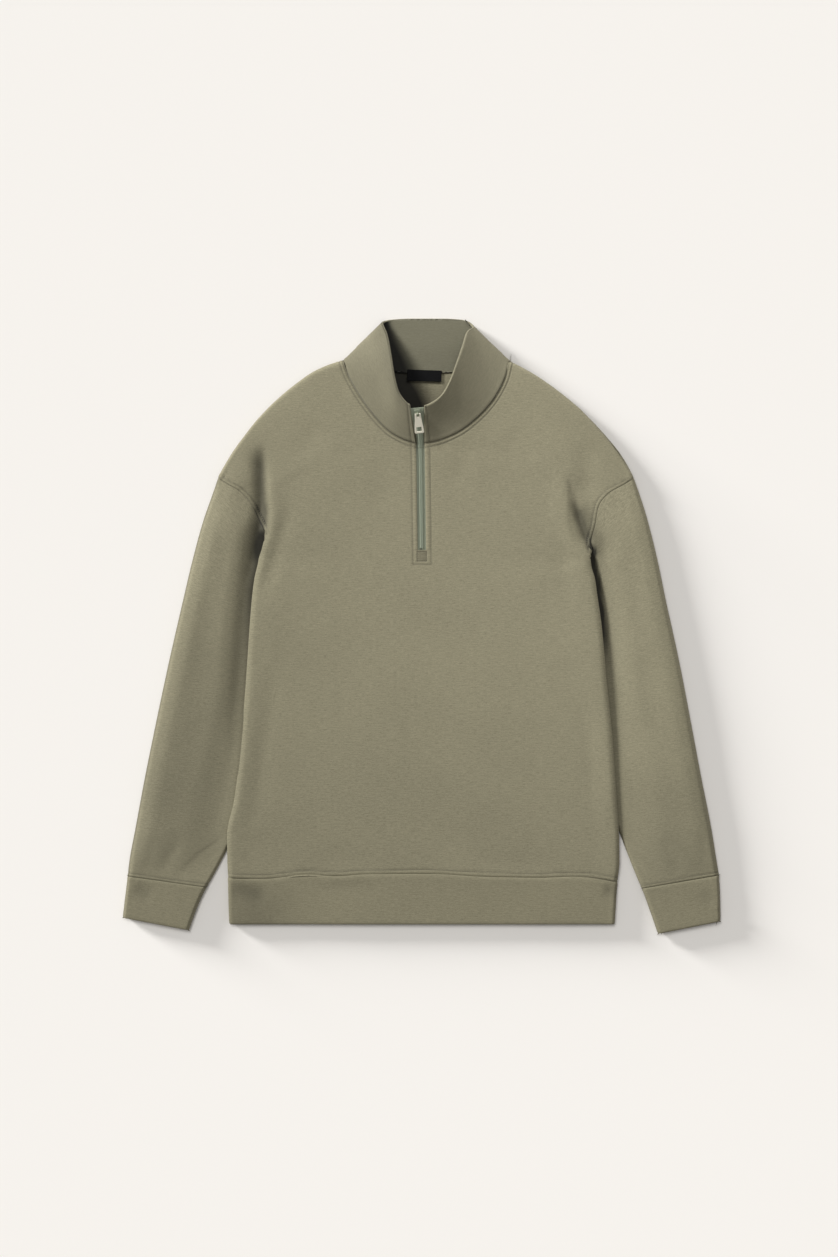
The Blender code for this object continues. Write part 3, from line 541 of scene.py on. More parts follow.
def front_sections(side):
    """Each front section's points from the zip out to the seam, hem first."""
    table = FRONT_RIGHT if side < 0 else FRONT_LEFT
    sections = []
    for row in table:
        at = dict(zip(FRONT_COLUMNS, row))
        lift = 1.8 * min(max((at["y"] - 150.0) / 80.0, 0.0), 1.0) ** 2
        inner = Vector((zip_x(at["y"]) + side * SLOT_HALF, at["y"], FRONT_TOP + lift))
        seam = Vector((at["sx"], at["sy"], at["sz"]))
        ridge = Vector((at["rx"], 0.0, at["rz"]))
        rise_x = side * min(abs(at["sx"]) + 3.0, abs(at["rx"]) - 26.0)
        flat = Vector((0.45 * rise_x, 0.0, FRONT_TOP + 0.5 + lift))
        climb = Vector((rise_x, 0.0, 0.5 * (FRONT_TOP + 0.5 + at["rz"])))
        brink = Vector((at["bx"], 0.0, at["bz"]))
        hollow = Vector((at["hx"], 0.0, at["hz"]))
        reach = max(abs(at["bx"] - inner.x), abs(seam.x - inner.x))
        for point in (flat, climb, ridge, brink, hollow):
            point.y = inner.y + (seam.y - inner.y) * min(abs(point.x - inner.x) / reach, 1.0)
        sections.append([inner, flat, climb, ridge, brink, hollow, seam])
    for point in sections[0][:-1]:
        point.y = hem_y(point.x)
    return sections


def yoke_sections(side):
    """Sections between the neckline and the armhole's top, the last on the shoulder outline."""
    ridge_x, brink_x, hollow_x = (-187.0, -197.0, -208.0) if side < 0 else (183.0, 191.0, 202.0)
    pick = 0 if side < 0 else 1
    tip = Vector((SHOULDER[-1][pick], SHOULDER[-1][2], SEAM_TOP))
    neck = Vector((SHOULDER[0][pick], SHOULDER[0][2], SEAM_TOP))
    sections = []
    for place, seam_in, seam_down, bulge, heights in (
        (1, 21.5, 14.2, 2.0, (9.3, 8.8, 10.4, 9.9, 9.4, 9.8)),
        (2, 18.0, 12.4, 4.0, (9.6, 9.4, 10.2, 9.9, 9.6, 9.9)),
        (3, 11.5, 9.0, 9.0, (9.9, 9.6, 10.2, 10.0, 9.8, 9.9)),
        (4, 6.8, 5.8, 15.0, (9.9, 9.8, 10.2, 10.1, 10.0, 9.8)),
        (5, 4.6, 4.6, 19.0, (9.4, 10.0, 10.2, 10.2, 10.1, 9.4)),
    ):
        seam = Vector((tip.x - side * seam_in, tip.y - seam_down, heights[5]))
        inner = Vector((NECKLINE[place][pick], NECKLINE[place][2], heights[0]))
        flat_x = 0.64 * inner.x + 0.36 * ridge_x
        climb_x = 0.3 * inner.x + 0.7 * ridge_x
        climb_z = 0.5 * (heights[1] + heights[2])
        row = [inner]
        places = (flat_x, climb_x, ridge_x, brink_x, hollow_x)
        for x, z in zip(places, (heights[1], climb_z, *heights[2:5])):
            f = (x - inner.x) / (seam.x - inner.x)
            y = inner.y + (seam.y - inner.y) * f + bulge * 4 * f * (1 - f)
            row.append(Vector((x, y, z)))
        sections.append(row + [seam])
    flat_x = 0.64 * neck.x + 0.36 * ridge_x
    climb_x = 0.3 * neck.x + 0.7 * ridge_x
    for inset, height in ((3.6, 9.6), (1.0, 7.6), (0.0, SEAM_TOP)):
        row = [neck + Vector((-side * 0.45 * inset, -1.6 * inset, height - SEAM_TOP))]
        for x in (flat_x, climb_x, ridge_x, brink_x, hollow_x):
            row.append(Vector((x, shoulder_y(x, side) - 1.25 * inset, height)))
        row.append(tip + Vector((side * -0.7 * inset, -0.9 * inset, height - SEAM_TOP)))
        sections.append(row)
    return sections


# The front's steps, coarse for the seams that other panels share, and fine for its own cloth.
COARSE_ACROSS = even(3, 3, 3, 3, 2, 2)
COARSE_BODY = even(*[1] * 13)
COARSE_YOKE = even(*[1] * 8)
UNDERARM = 7
FRONT_ACROSS = graded((34, 0.8, 3.4), (22, 1, 1), (9, 1.2, 0.8), (7, 1, 1), (5, 1, 1), (14, 2.6, 0.8))
BODY_ALONG = graded(
    (10, 0.8, 2.2), (9, 1, 1), (12, 1, 1), (20, 1, 1), (20, 1, 1), (20, 1, 1), (14, 1, 1),
    (28, 1.9, 0.8), (10, 0.8, 1.4), (9, 1, 1), (10, 1, 1), (11, 1, 1), (10, 1.6, 0.8),
)
YOKE_ALONG = graded(
    (6, 1, 1), (7, 1, 1), (7, 1, 1), (7, 1, 1), (6, 1, 1), (5, 1, 1), (3, 1, 1), (3, 1, 1)
)
FIRST_YOKE_ROW = len(BODY_ALONG) - 1
UNDERARM_ROW = 148


def half_front(side, across=COARSE_ACROSS, body_along=COARSE_BODY, yoke_along=COARSE_YOKE):
    """Half the front's outer face, a row of points for each line across, hem first."""
    body = front_sections(side)
    yoke = yoke_sections(side)
    rows = [spline(section, across) for section in body + yoke]
    lower = loft(rows[: len(body)], body_along)
    upper = loft(rows[len(body) - 1 :], yoke_along)
    for point in lower[0]:
        point.y = hem_y(point.x)
    return lower + upper[1:]


# Soft creases on the front: x and y at both ends, half-width, depth.
FRONT_FOLDS = (
    (-168.0, 138.0, -194.0, 46.0, 9.0, 1.5),
    (-150.0, 214.0, -128.0, 250.0, 16.0, 0.9),
    (207.0, 222.0, 210.0, 168.0, 12.0, 1.3),
    (172.0, 120.0, 184.0, 30.0, 12.0, 0.9),
    (140.0, 210.0, 112.0, 240.0, 16.0, 0.8),
    (62.0, 226.0, 40.0, 178.0, 16.0, 0.9),
    (-52.0, 214.0, -44.0, 150.0, 18.0, 0.6),
    (-188.0, -70.0, -206.0, -220.0, 15.0, 0.9),
    (206.0, -90.0, 216.0, -220.0, 14.0, 0.8),
    (-120.0, -286.0, -60.0, -300.0, 14.0, 0.7),
    (70.0, -292.0, 150.0, -300.0, 14.0, 0.7),
    (-204.0, -262.0, -170.0, -300.0, 10.0, 0.8),
)
# Deep folds and the ridges beside them that run on from the front over the armhole seams.
ARMPIT_FOLDS = (
    (-200.0, 214.0, -199.0, 150.0, 10.0, 5.6, 6.0),
    (-199.0, 152.0, -210.0, 88.0, 9.0, 5.0, 9.0),
    (-232.0, 196.0, -238.0, 110.0, 17.0, -2.2),
    (-186.0, 190.0, -184.0, 122.0, 8.0, -0.6),
    (184.0, 184.0, 195.0, 146.0, 5.0, 1.1),
    (193.0, 148.0, 211.0, 98.0, 5.0, 3.4),
)
# Painted shade in the folds' bottoms, where they lie too close together to show their depth.
ARMPIT_SHADE = ARMPIT_FOLDS + (
    (-200.5, 150.0, -198.5, 124.0, 9.0, 4.0, 8.0),
    (197.0, 148.0, 211.0, 102.0, 6.0, 4.0, 14.0),
)
# How much painted shade tones down the edges that face the light.
RIM_SHADE = 1.1
YOKE_RIM_Y = 186.0
# Painted shade for each mm of the folds, and the most of it, on the front and on the sleeves.
FRONT_FOLD_SHADE, FRONT_DARKEST = 0.36, 2.0
SLEEVE_FOLD_SHADE, SLEEVE_DARKEST = 0.24, 2.9
# Painted shade along the stitched box at the zip's end.
BOX_SHADE = 1.9
ARMPIT_ENDS = ((-195.0, 118.0), (210.0, 100.0))


def armpit_fold(point):
    """How high the deep folds over the armhole seams lie, easing off at the seams' lower ends."""
    end = Vector(ARMPIT_ENDS[point.x > 0])
    return rise((point.xy - end).length, 2, 11) * sum(trough(point, fold) for fold in ARMPIT_FOLDS)


def swell(point, seed=0.0):
    """The slow unevenness of cloth that lies loose, in mm."""
    x, y = point.x + seed, point.y - seed
    return (
        0.55 * math.sin(x / 61.0 + 0.7 * math.sin(y / 83.0))
        * math.sin(y / 97.0 + 0.6 * math.sin(x / 71.0) + 0.5)
        + 0.3 * math.sin(x / 27.0 + y / 41.0 + 1.1) * math.sin(y / 33.0 - x / 90.0)
    )


# The stitched frame round the zip: lines beside it, its bottom end, and the small box at the zip's end.
FRAME_HALF = 11.5
FRAME_END_Y = 77.0
BOX_HALF = 5.6
BOX_TOP_Y = 93.6
BOX_END_Y = 81.4


def frame_line():
    line = []
    for y in range(232, 77, -5):
        line.append((zip_x(y) - FRAME_HALF, y))
    line.append((zip_x(83) - FRAME_HALF, FRAME_END_Y))
    line.append((zip_x(83) + FRAME_HALF, FRAME_END_Y))
    for y in range(82, 235, 5):
        line.append((zip_x(y) + FRAME_HALF, y))
    return Seam(line)


def box_line():
    x = zip_x(88)
    corners = [(-1, BOX_TOP_Y), (-1, BOX_END_Y), (1, BOX_END_Y), (1, BOX_TOP_Y), (-1, BOX_TOP_Y)]
    return Seam([(x + side * BOX_HALF, y) for side, y in corners])


def armpit_fullness(side, y):
    """How far the body's side lies out, in mm, just below the armhole."""
    if side < 0:
        return -4.2 * bell(y - 97.0, 13.0)
    return 3.4 * bell(y - 68.0, 24.0) + 4.4 * bell(y - 94.0, 9.0) + 5.5 * bell(y - 86.0, 10.0)


def even_out(grid, at, reach, middle):
    """Spreads a sudden bend in the rows, apart from the outer columns and those at the middle."""
    last = len(grid[0]) - 1
    shares = [
        0.5 * rise(min(j, last - j), 5, 14) * rise(abs(j - middle - 0.5), 5, 14) for j in range(last + 1)
    ]
    for _ in range(40):
        for i in range(at - reach, at + reach + 1):
            share = 1 - abs(i - at) / (reach + 1)
            below, above = grid[i - 1], grid[i + 1]
            grid[i] = [
                point.lerp((below[j] + above[j]) * 0.5, share * shares[j]) for j, point in enumerate(grid[i])
            ]


def build_front():
    right = half_front(-1, FRONT_ACROSS, BODY_ALONG, YOKE_ALONG)
    left = half_front(1, FRONT_ACROSS, BODY_ALONG, YOKE_ALONG)
    grid = [list(reversed(a)) + b for a, b in zip(right, left)]
    middle = len(right[0]) - 1
    last = len(grid[0]) - 1
    even_out(grid, FIRST_YOKE_ROW, 14, middle)
    for i, row in enumerate(grid):
        for j, point in enumerate(row):
            from_side = min(j, last - j)
            share = 1 - rise(from_side, 24, 46)
            point.x += share * armpit_fullness(-1 if j < middle else 1, point.y)
    for name, pick in (("side_right", min), ("side_left", max)):
        SEAMS[name] = Seam([pick(row, key=lambda point: point.x) for row in grid[4 : UNDERARM_ROW + 2]])
    yoke = grid[FIRST_YOKE_ROW:]
    neck = Seam([row[middle] for row in yoke][::-1] + [row[middle + 1] for row in yoke])
    arms = []
    for j, lowest in ((0, 108.0), (last, 88.0)):
        arms.append(Seam([row[j] for row in grid if row[j].y > lowest and row[middle].y > SLOT_END_Y]))
    for point in grid[0]:
        point.y -= 0.6
    hem = Seam(grid[0])
    frame, box = SEAMS["frame"], SEAMS["box"]
    SEAMS.update(neck=neck, arm_right=arms[0], arm_left=arms[1], hem=hem)

    def arm_at(point, j):
        return arms[0 if j < middle else 1](point)

    def shift(point, i, j):
        from_side = min(j, last - j)
        on_top = max(rise(from_side, 14, 26), rise(i, UNDERARM_ROW, UNDERARM_ROW + 12))
        folds = sum(trough(point, fold) for fold in FRONT_FOLDS)
        moved = (swell(point) * rise(from_side, 0, 20) + folds) * on_top
        d = neck(point)
        moved += -0.35 * bell(d, 0.8) + 0.25 * bell(d - 3.6, 1.6)
        moved += groove(d, 1.7, 0.3, 0.6) + groove(d, 5.6)
        d = hem(point)
        moved += (-0.4 * bell(d, 0.9) + 0.3 * bell(d - 3.2, 1.8) + groove(d, 5.8)) * rise(from_side, 8, 16)
        if from_side < 20:
            d = arm_at(point, j)
            moved += -0.3 * bell(d, 0.9) + 0.3 * bell(d - 2.6, 1.4) + groove(d, 4.8)
        if abs(point.x) < 30.0 and point.y > 60.0:
            beside = abs(point.x - zip_x(point.y)) if point.y > SLOT_END_Y else 99.0
            moved += groove(frame(point), 0.0, 0.45, 0.7) + groove(box(point), 0.0, 0.6, 0.6)
            moved += -0.5 * bell(beside - SLOT_HALF, 0.8) + 0.35 * bell(beside - 8.0, 2.0)
        return moved

    shaped = pressed(grid, shift)
    for i, row in enumerate(shaped):
        for j, point in enumerate(row):
            point.z += armpit_fold(grid[i][j]) * rise(i, UNDERARM_ROW, UNDERARM_ROW + 6)
    slot = [row[middle].y > SLOT_END_Y - 0.1 for row in grid].index(True)

    def in_slot(i, j):
        return i >= slot and j == middle

    # Painted shade: darker along the seam and stitch grooves, round the zip's box, in the armpit folds'
    # bottoms, and on the lit edge of the right yoke.
    def painted_shade_at(i, j):
        point = grid[i][j]
        near = [neck(point) - 5.6, neck(point) - 1.7, hem(point) - 5.8, frame(point), box(point)]
        painted_seam_shade = max(SEAM_SHADE * bell(neck(point), 0.9), SEAM_SHADE * bell(hem(point), 0.9))
        painted_seam_shade = max(painted_seam_shade, BOX_SHADE * bell(box(point), 0.7))
        if min(j, last - j) < 20:
            near += [arm_at(point, j) - 4.8, arm_at(point, j)]
        deep = -sum(trough(point, fold) for fold in ARMPIT_SHADE) if i > UNDERARM_ROW - 12 else 0.0
        painted_rim_shade = RIM_SHADE * bell((point - grid[i][0]).length, 1.6) if grid[i][0].y > YOKE_RIM_Y else 0.0
        folded = min(max(FRONT_FOLD_SHADE * deep, 0.0), FRONT_DARKEST)
        return max(max(bell(d, 0.9) for d in near), painted_seam_shade, painted_rim_shade) + folded

    places = lengths_on_cloth(shaped, middle)
    piece = cloth("front_panel_cloth", shaped, CLOTH, FINISHES["knit"], places, hole=in_slot, painted_shade_at=painted_shade_at)
    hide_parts("front_panel")
    SURFACES["front"] = surface_of(shaped)
    return piece


def settle(piece):
    """Applies the piece's modifiers, and lets nothing hang below the table."""
    bpy.context.view_layer.update()
    graph = bpy.context.evaluated_depsgraph_get()
    mesh = bpy.data.meshes.new_from_object(
        piece.evaluated_get(graph), preserve_all_data_layers=True, depsgraph=graph
    )
    piece.modifiers.clear()
    piece.data = mesh
    for vert in piece.data.vertices:
        vert.co.z = max(vert.co.z, 0.0)


def surface_of(grid):
    """The grid as a surface to lay stitches on."""
    points = [point * MM for row in grid for point in row]
    columns = len(grid[0])
    faces = []
    for i in range(len(grid) - 1):
        for j in range(columns - 1):
            k = i * columns + j
            faces.append((k, k + 1, k + columns + 1, k + columns))
    return BVHTree.FromPolygons(points, faces)


SEAMS = {}
SURFACES = {}
FINISHES = {}

BACK_CENTRE_X = 4.0
NECK_STEPS = (0.0, 0.1, 0.2, 0.3, 0.4, 0.5, 0.6, 0.7, 0.78, 0.86, 0.91, 0.955)
SHOULDER_STEPS = (
    0.0, 0.08, 0.15, 0.22, 0.29, 0.36, 0.44, 0.51, 0.58, 0.66,
    0.72, 0.78, 0.84, 0.88, 0.925, 0.95, 0.97, 0.985, 1.0,
)
CURL = 9.0
BACK_ARMHOLE_BOW = -6.0


def curl(distance):
    """How far the back's edge is lifted, from 1 at the seam to 0 where it lies flat."""
    return max(1 - distance / CURL, 0.0) ** 2


def back_top(side):
    """The back's top edge, from the middle of the neck past the neck point to the shoulder tip."""
    pick = 0 if side < 0 else 1
    neck_x, tip_x = SHOULDER[0][pick], SHOULDER[-1][pick]
    line = []
    for f in NECK_STEPS:
        x = BACK_CENTRE_X + (neck_x - BACK_CENTRE_X) * f
        line.append(Vector((x, table_value(BACK_NECK, x), 0.0)))
    for f in SHOULDER_STEPS:
        x = neck_x + (tip_x - neck_x) * f
        line.append(Vector((x, shoulder_y(x, side), BACK_EDGE if f else 0.4 * BACK_EDGE)))
    return line


def back_edge(side):
    """The back's side seam and armhole, from the hem to the shoulder tip."""
    seam = [row[-1].copy() for row in half_front(side)]
    lengths = [0.0]
    for a, b in zip(seam[UNDERARM:], seam[UNDERARM + 1 :]):
        lengths.append(lengths[-1] + (b.xy - a.xy).length)
    underarm, tip = seam[UNDERARM].copy(), back_top(side)[-1]
    for i, point in enumerate(seam):
        if i < 2:
            point.z = BACK_EDGE
        else:
            point.x -= side * SEAM_GAP
            point.z = min(point.z, (UNDERFOLD, 2.6, 0.6, 0.0)[min(max(i - UNDERARM + 1, 0), 3)])
        if i > UNDERARM:
            f = lengths[i - UNDERARM] / lengths[-1]
            bow = BACK_ARMHOLE_BOW * 4 * f * (1 - f)
            point.xy = underarm.xy.lerp(tip.xy, f) + Vector((-side * bow, bow)) * 0.7
    seam[-2].z = 0.6 * BACK_EDGE
    seam[-1].z = BACK_EDGE
    return seam


def half_back(side):
    """Half the back's outer face, which lies on the table and curls up to its seams."""
    coarse = back_edge(side)
    edge = spline(coarse, even(*[6] * (len(coarse) - 1)))
    top = back_top(side)
    steps = [0.0]
    for a, b in zip(edge, edge[1:]):
        steps.append(steps[-1] + (b.xy - a.xy).length)
    grid = []
    for point, step in zip(edge, steps):
        v = step / steps[-1]
        row = []
        for above in top:
            u = abs(above.x - top[0].x) / abs(top[-1].x - top[0].x)
            bottom_x = top[0].x + (edge[0].x - top[0].x) * u
            bottom = Vector((bottom_x, back_hem_y(bottom_x)))
            middle = Vector((top[0].x, back_hem_y(top[0].x) * (1 - v) + top[0].y * v))
            corners = middle * (1 - u) + (edge[0].xy * (1 - v) + edge[-1].xy * v) * u
            across = middle * (1 - u) + point.xy * u
            along = bottom * (1 - v) + above.xy * v
            at = across + along - corners
            height = max(
                curl((at - point.xy).length) * point.z,
                curl((at - above.xy).length) * above.z,
            )
            row.append(Vector((at.x, at.y, height)))
        grid.append(row)
    return grid


# Painted shadow where the collar's front hides the cloth behind it, near the throat: y, the hiding edge's x,
# and how wide the painted shadow beside it is.
THROAT = (
    (266.0, -10.0, 24.0), (286.0, -29.0, 46.0), (314.0, -38.0, 46.0),
    (345.0, -43.0, 31.0), (382.0, -47.0, 10.0),
)
# How dark the painted shadow beside the edge is.
THROAT_SHADE = 3.0


def throat_shade(point):
    if not THROAT[0][0] < point.y < THROAT[-1][0]:
        return 0.0
    edge, width = table_value(THROAT, point.y), table_value(THROAT, point.y, value=2)
    # Painted shade inside the throat, and the painted shadow beside the collar's edge.
    inside = 0.25 * (1 - rise(point.y, 335.0, 360.0)) + 0.6 * (1 - rise(point.y, 292.0, 312.0))
    beside = (1 - rise(point.x - edge, 0.3 * width, width)) * rise(point.x, edge - 30.0, edge - 20.0)
    return THROAT_SHADE * beside + inside


def build_back():
    right = half_back(-1)
    left = half_back(1)
    grid = [list(reversed(a)) + b[1:] for a, b in zip(right, left)]
    places = [[point.copy() for point in row] for row in grid]
    # The back takes the painted shade near the throat.
    piece = cloth(
        "back_panel_cloth", grid, CLOTH, FINISHES["knit"],
        places, flip=True, painted_shade_at=lambda i, j: throat_shade(grid[i][j])
    )
    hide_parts("back_panel")
    return piece


# A flattened tube's steps over its top and back below, and a sleeve's from the armhole to the cuff.
SLEEVE_OVER = graded((5, 1, 1), (10, 1, 1), (10, 1, 1), (6, 1, 1), (16, 1, 1), (4, 1, 1))
SLEEVE_UNDER = graded((4, 1, 1), (22, 1, 1), (5, 1, 1))
SLEEVE_ALONG = graded(
    (12, 0.8, 2.6), (9, 1, 1), (14, 1, 1), (14, 1, 1), (20, 1, 1), (20, 1, 1), (20, 1, 1), (16, 1, 1),
    (11, 1, 1), (12, 2.2, 0.8),
)
SLEEVE_EDGE = 3.6
CREST_IN = 7.0


def tube_section(outer, inner, crest, dip_at, dip, inner_top):
    """A flattened tube's ring: over the top from the outer edge to the inner, and back below."""
    outer = Vector((*outer, SLEEVE_EDGE))
    inner = Vector((*inner, 0.5 * min(inner_top, 2 * SLEEVE_EDGE)))
    across = inner - outer
    across.z = 0.0
    width = across.length

    def place(distance, height):
        point = outer + across * (distance / width)
        point.z = height
        return point

    top = [
        outer,
        place(CREST_IN, crest),
        place(0.5 * (CREST_IN + width * dip_at), 0.5 * (crest + dip)),
        place(width * dip_at, dip),
        place(min(width * dip_at + 14.0, width - 9.0), inner_top + 0.1 * (dip - inner_top)),
        place(width - 4.0, inner_top),
        inner,
    ]
    bottom = [inner, place(width - 4.0, 0.0), place(CREST_IN, 0.0), outer]
    return spline(top, SLEEVE_OVER)[:-1] + spline(bottom, SLEEVE_UNDER)


def armhole_section(side, beyond):
    """The sleeve's ring at the armhole, on the front's edge above and the back's below."""
    front = half_front(side, FRONT_ACROSS, BODY_ALONG, YOKE_ALONG)
    first = next(i for i, at in enumerate(BODY_ALONG) if at > UNDERARM - 0.001)
    front = [row[-1] for row in front[first:]][::-1]
    back = list(reversed(back_edge(side)[UNDERARM:]))
    lengths = [0.0]
    for a, b in zip(front, front[1:]):
        lengths.append(lengths[-1] + (b.xy - a.xy).length)

    def along(line, share):
        want = share * lengths[-1]
        for i in range(len(line) - 1):
            if want <= lengths[i + 1] + 1e-9:
                f = (want - lengths[i]) / max(lengths[i + 1] - lengths[i], 1e-9)
                return line[i].lerp(line[i + 1], f)
        return line[-1].copy()

    end_y = ARMPIT_ENDS[side > 0][1]
    count = len(SLEEVE_OVER) - 1
    first, last = beyond[0].xy, beyond[count].xy
    seam_way = (front[-1].xy - front[0].xy).normalized()
    outward = Vector((-side * seam_way.y, side * seam_way.x))
    ring = []
    for k, point in enumerate(beyond):
        share = (point.xy - first).length / (last - first).length
        if k <= count:
            at = along(front, min(share, 1.0))
            hidden = 1 - rise(at.y, end_y - 9, end_y)
            at.z = max(at.z - 0.3, SLEEVE_INNER_TOP) * (1 - hidden) + SLEEVE_INNER_TOP * hidden
            if k == count:
                at.z = point.z
            if k == 0:
                at.z = SLEEVE_EDGE + 0.8
        else:
            at = along(back, min(share, 1.0))
            above = min(ring, key=lambda other: (other.xy - at.xy).length_squared)
            at.z = max(min(at.z - 0.6, above.z - CLOTH - 0.6), 0.0)
        step = outward * -0.6
        ring.append(Vector((at.x + step.x + armpit_fullness(side, at.y), at.y + step.y, at.z)))
    ring[-1] = ring[0].copy()
    return ring


# Soft creases on the sleeves, right and left: x and y at both ends, half-width, depth.
SLEEVE_FOLDS = {
    -1: (
        (-210.0, 122.0, -217.0, 60.0, 8.0, 1.8),
        (-262.0, 40.0, -284.0, -90.0, 18.0, 1.2),
        (-246.0, 92.0, -244.0, 52.0, 5.0, 0.4),
        (-300.0, -262.0, -322.0, -304.0, 8.0, 0.8),
        (-338.0, -270.0, -345.0, -306.0, 7.0, 0.6),
    ),
    1: (
        (215.0, 84.0, 231.0, 4.0, 5.0, 3.4),
        (231.0, 4.0, 252.0, -110.0, 9.0, 1.0),
        (227.0, 112.0, 232.0, 70.0, 4.0, 0.5),
        (262.0, 90.0, 272.0, -10.0, 14.0, 0.5),
        (280.0, -40.0, 292.0, -140.0, 15.0, 0.7),
        (306.0, -268.0, 322.0, -306.0, 8.0, 0.8),
        (350.0, -262.0, 354.0, -304.0, 7.0, 0.6),
    ),
}
# How deep each sleeve dips beside the body, how full it lies beyond, and how far out it is full.
SLEEVE_SIDES = {-1: (2.8, 4.6, 36.0), 1: (1.8, 3.2, 40.0)}


def build_sleeve(name, table, side):
    rows = []
    for ox, oy, ix, iy, dip_at, dip, inner_top in table:
        crest = SLEEVE_TOP if iy > table[-1][3] else BAND_TOP
        rows.append(tube_section((ox, oy), (ix, iy), crest, dip_at, dip, inner_top))
    rows.insert(0, armhole_section(side, rows[0]))
    grid = loft(rows, SLEEVE_ALONG)
    grid[-1] = [point + (point - before).normalized() * 0.8 for point, before in zip(grid[-1], grid[-2])]
    over = len(SLEEVE_OVER) - 1
    last = len(grid) - 1
    cuff = Seam(grid[-1][: over + 1])
    arm = Seam(grid[0][: over + 1])
    SEAMS["cuff_right" if side < 0 else "cuff_left"] = cuff
    body = SEAMS["side_right" if side < 0 else "side_left"]

    def shift(point, i, j):
        fade = rise(min(i, last - i), 0, 10)
        on_top = rise(min(j, over - j), 0, 6) if j < over else 0.0
        moved = swell(point, 40.0) * 0.7 * fade * on_top
        if on_top:
            beside = body(point)
            from_outer = (point.xy - grid[i][0].xy).length
            low, full, reach = SLEEVE_SIDES[side]
            upper = rise(point.y, -230.0, -60.0)
            rounded = full * rise(beside, 10, reach + 20 * (1 - upper)) * rise(from_outer, 0, 22)
            moved += rounded * rise(min(i, last - i), 0, 24)
            dip = low * (1 - rise(beside, 7, 22)) * rise(min(i, last - i), 0, 9) * upper
            moved -= dip if side < 0 else dip * (1 - rise(point.y, 72, 96))
            moved += sum(trough(point, fold) for fold in SLEEVE_FOLDS[side]) * on_top
        d = cuff(point)
        if d < 12:
            moved += -0.4 * bell(d, 0.9) + 0.3 * bell(d - 2.4, 1.3) + groove(d, 4.2) * (j <= over)
        d = arm(point)
        if d < 6 and j <= over:
            moved += -0.25 * bell(d, 0.9)
        return -moved if side < 0 else moved

    shaped = pressed(grid, shift)
    for i, row in enumerate(shaped):
        for j, point in enumerate(row):
            if 0 < j <= over:
                point.z += armpit_fold(grid[i][j])
            point.z = max(point.z, CLOTH + 0.3 if 0 < j < over else 0.0)
        under = row[over + 2 : -2]
        for j in range(2, over - 1) if i else ():
            point = row[j]
            below = min(under, key=lambda other: (other.xy - point.xy).length_squared)
            point.z = max(point.z, below.z + CLOTH + 0.4)
            if i < 16 and j > over - 20:
                point.z = min(point.z, shaped[0][j].z + 0.1 * i)
        row[-1] = row[0].copy()

    outermost = [min(point.x for point in row) for row in grid]

    # Painted shade: along the seams and cuff stitching, in the dip beside the body's edge and in the armpit
    # folds, a near-black painted shadow in the gap under the body's edge on the left sleeve, and on the lit
    # outer edge of the right sleeve.
    def painted_shade_at(i, j):
        point = grid[i][j]
        painted_rim_shade = RIM_SHADE * bell(point.x - outermost[i], 1.6) if side < 0 else 0.0
        if j > over:
            return painted_rim_shade
        low = SLEEVE_SIDES[side][0]
        deep = 0.32 * low * (1 - rise(body(point), 6.0, 26.0)) * rise(point.y, -230.0, -20.0)
        deep -= SLEEVE_FOLD_SHADE * sum(trough(point, fold) for fold in ARMPIT_SHADE)
        if side < 0:
            deep += 1.6 * bell(body(point), 10.0) * rise(point.y, -60.0, 60.0)
        else:
            painted_gap_shadow = rise(point.y, -60.0, 10.0) * (1 - rise(point.y, 90.0, 106.0))
            deep += 3.0 * (1 - rise(body(point), 3.0, 9.0)) * painted_gap_shadow
        painted_seam_shade = SEAM_SHADE * max(bell(cuff(point), 1.0), 2.4 * bell(arm(point), 0.9))
        return max(bell(cuff(point) - 4.2, 0.9), painted_seam_shade, painted_rim_shade) + min(max(deep, 0.0), SLEEVE_DARKEST)

    along = run_along(shaped, over // 2)
    places = lengths_on_cloth(shaped, over // 2, along)
    piece = cloth(
        name + "_cloth", shaped, CLOTH, FINISHES["knit"], places, ring=True, flip=side < 0, painted_shade_at=painted_shade_at
    )
    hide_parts(name)
    SURFACES[name] = surface_of([row[: over + 1] for row in shaped])
    return piece


BAND_ALONG = graded((6, 0.8, 2.0), (12, 1.6, 1.0))
# Hollows just below the seams that join the hem band and the cuffs.
BAND_FOLDS = (
    (-236.0, -327.0, -198.0, -337.0, 12.0, 1.4),
    (230.0, -328.0, 246.0, -336.0, 9.0, 1.2),
    (-130.0, -326.0, -60.0, -322.0, 8.0, 0.4),
    (-356.0, -327.0, -338.0, -338.0, 10.0, 1.1),
    (350.0, -332.0, 364.0, -346.0, 9.0, 0.5),
)


def band_fold(point):
    return sum(trough(point, fold) for fold in BAND_FOLDS)


CUFF_OVER = graded((8, 1, 1), (28, 1, 1), (8, 1, 1))
BAND_ROLL = 4.9


def band_section(outer, inner, steps):
    """A flattened ring of doubled cloth."""
    outer = Vector((*outer, 0.5 * BAND_TOP))
    inner = Vector((*inner, 0.5 * BAND_TOP))
    inward = (inner - outer).normalized() * CREST_IN * 0.7
    up = Vector((0.0, 0.0, 0.5 * BAND_TOP))
    top = [outer, outer + inward + up, inner - inward + up, inner]
    bottom = [inner, inner - inward - up, outer + inward - up, outer]
    return spline(top, steps)[:-1] + spline(bottom, steps)


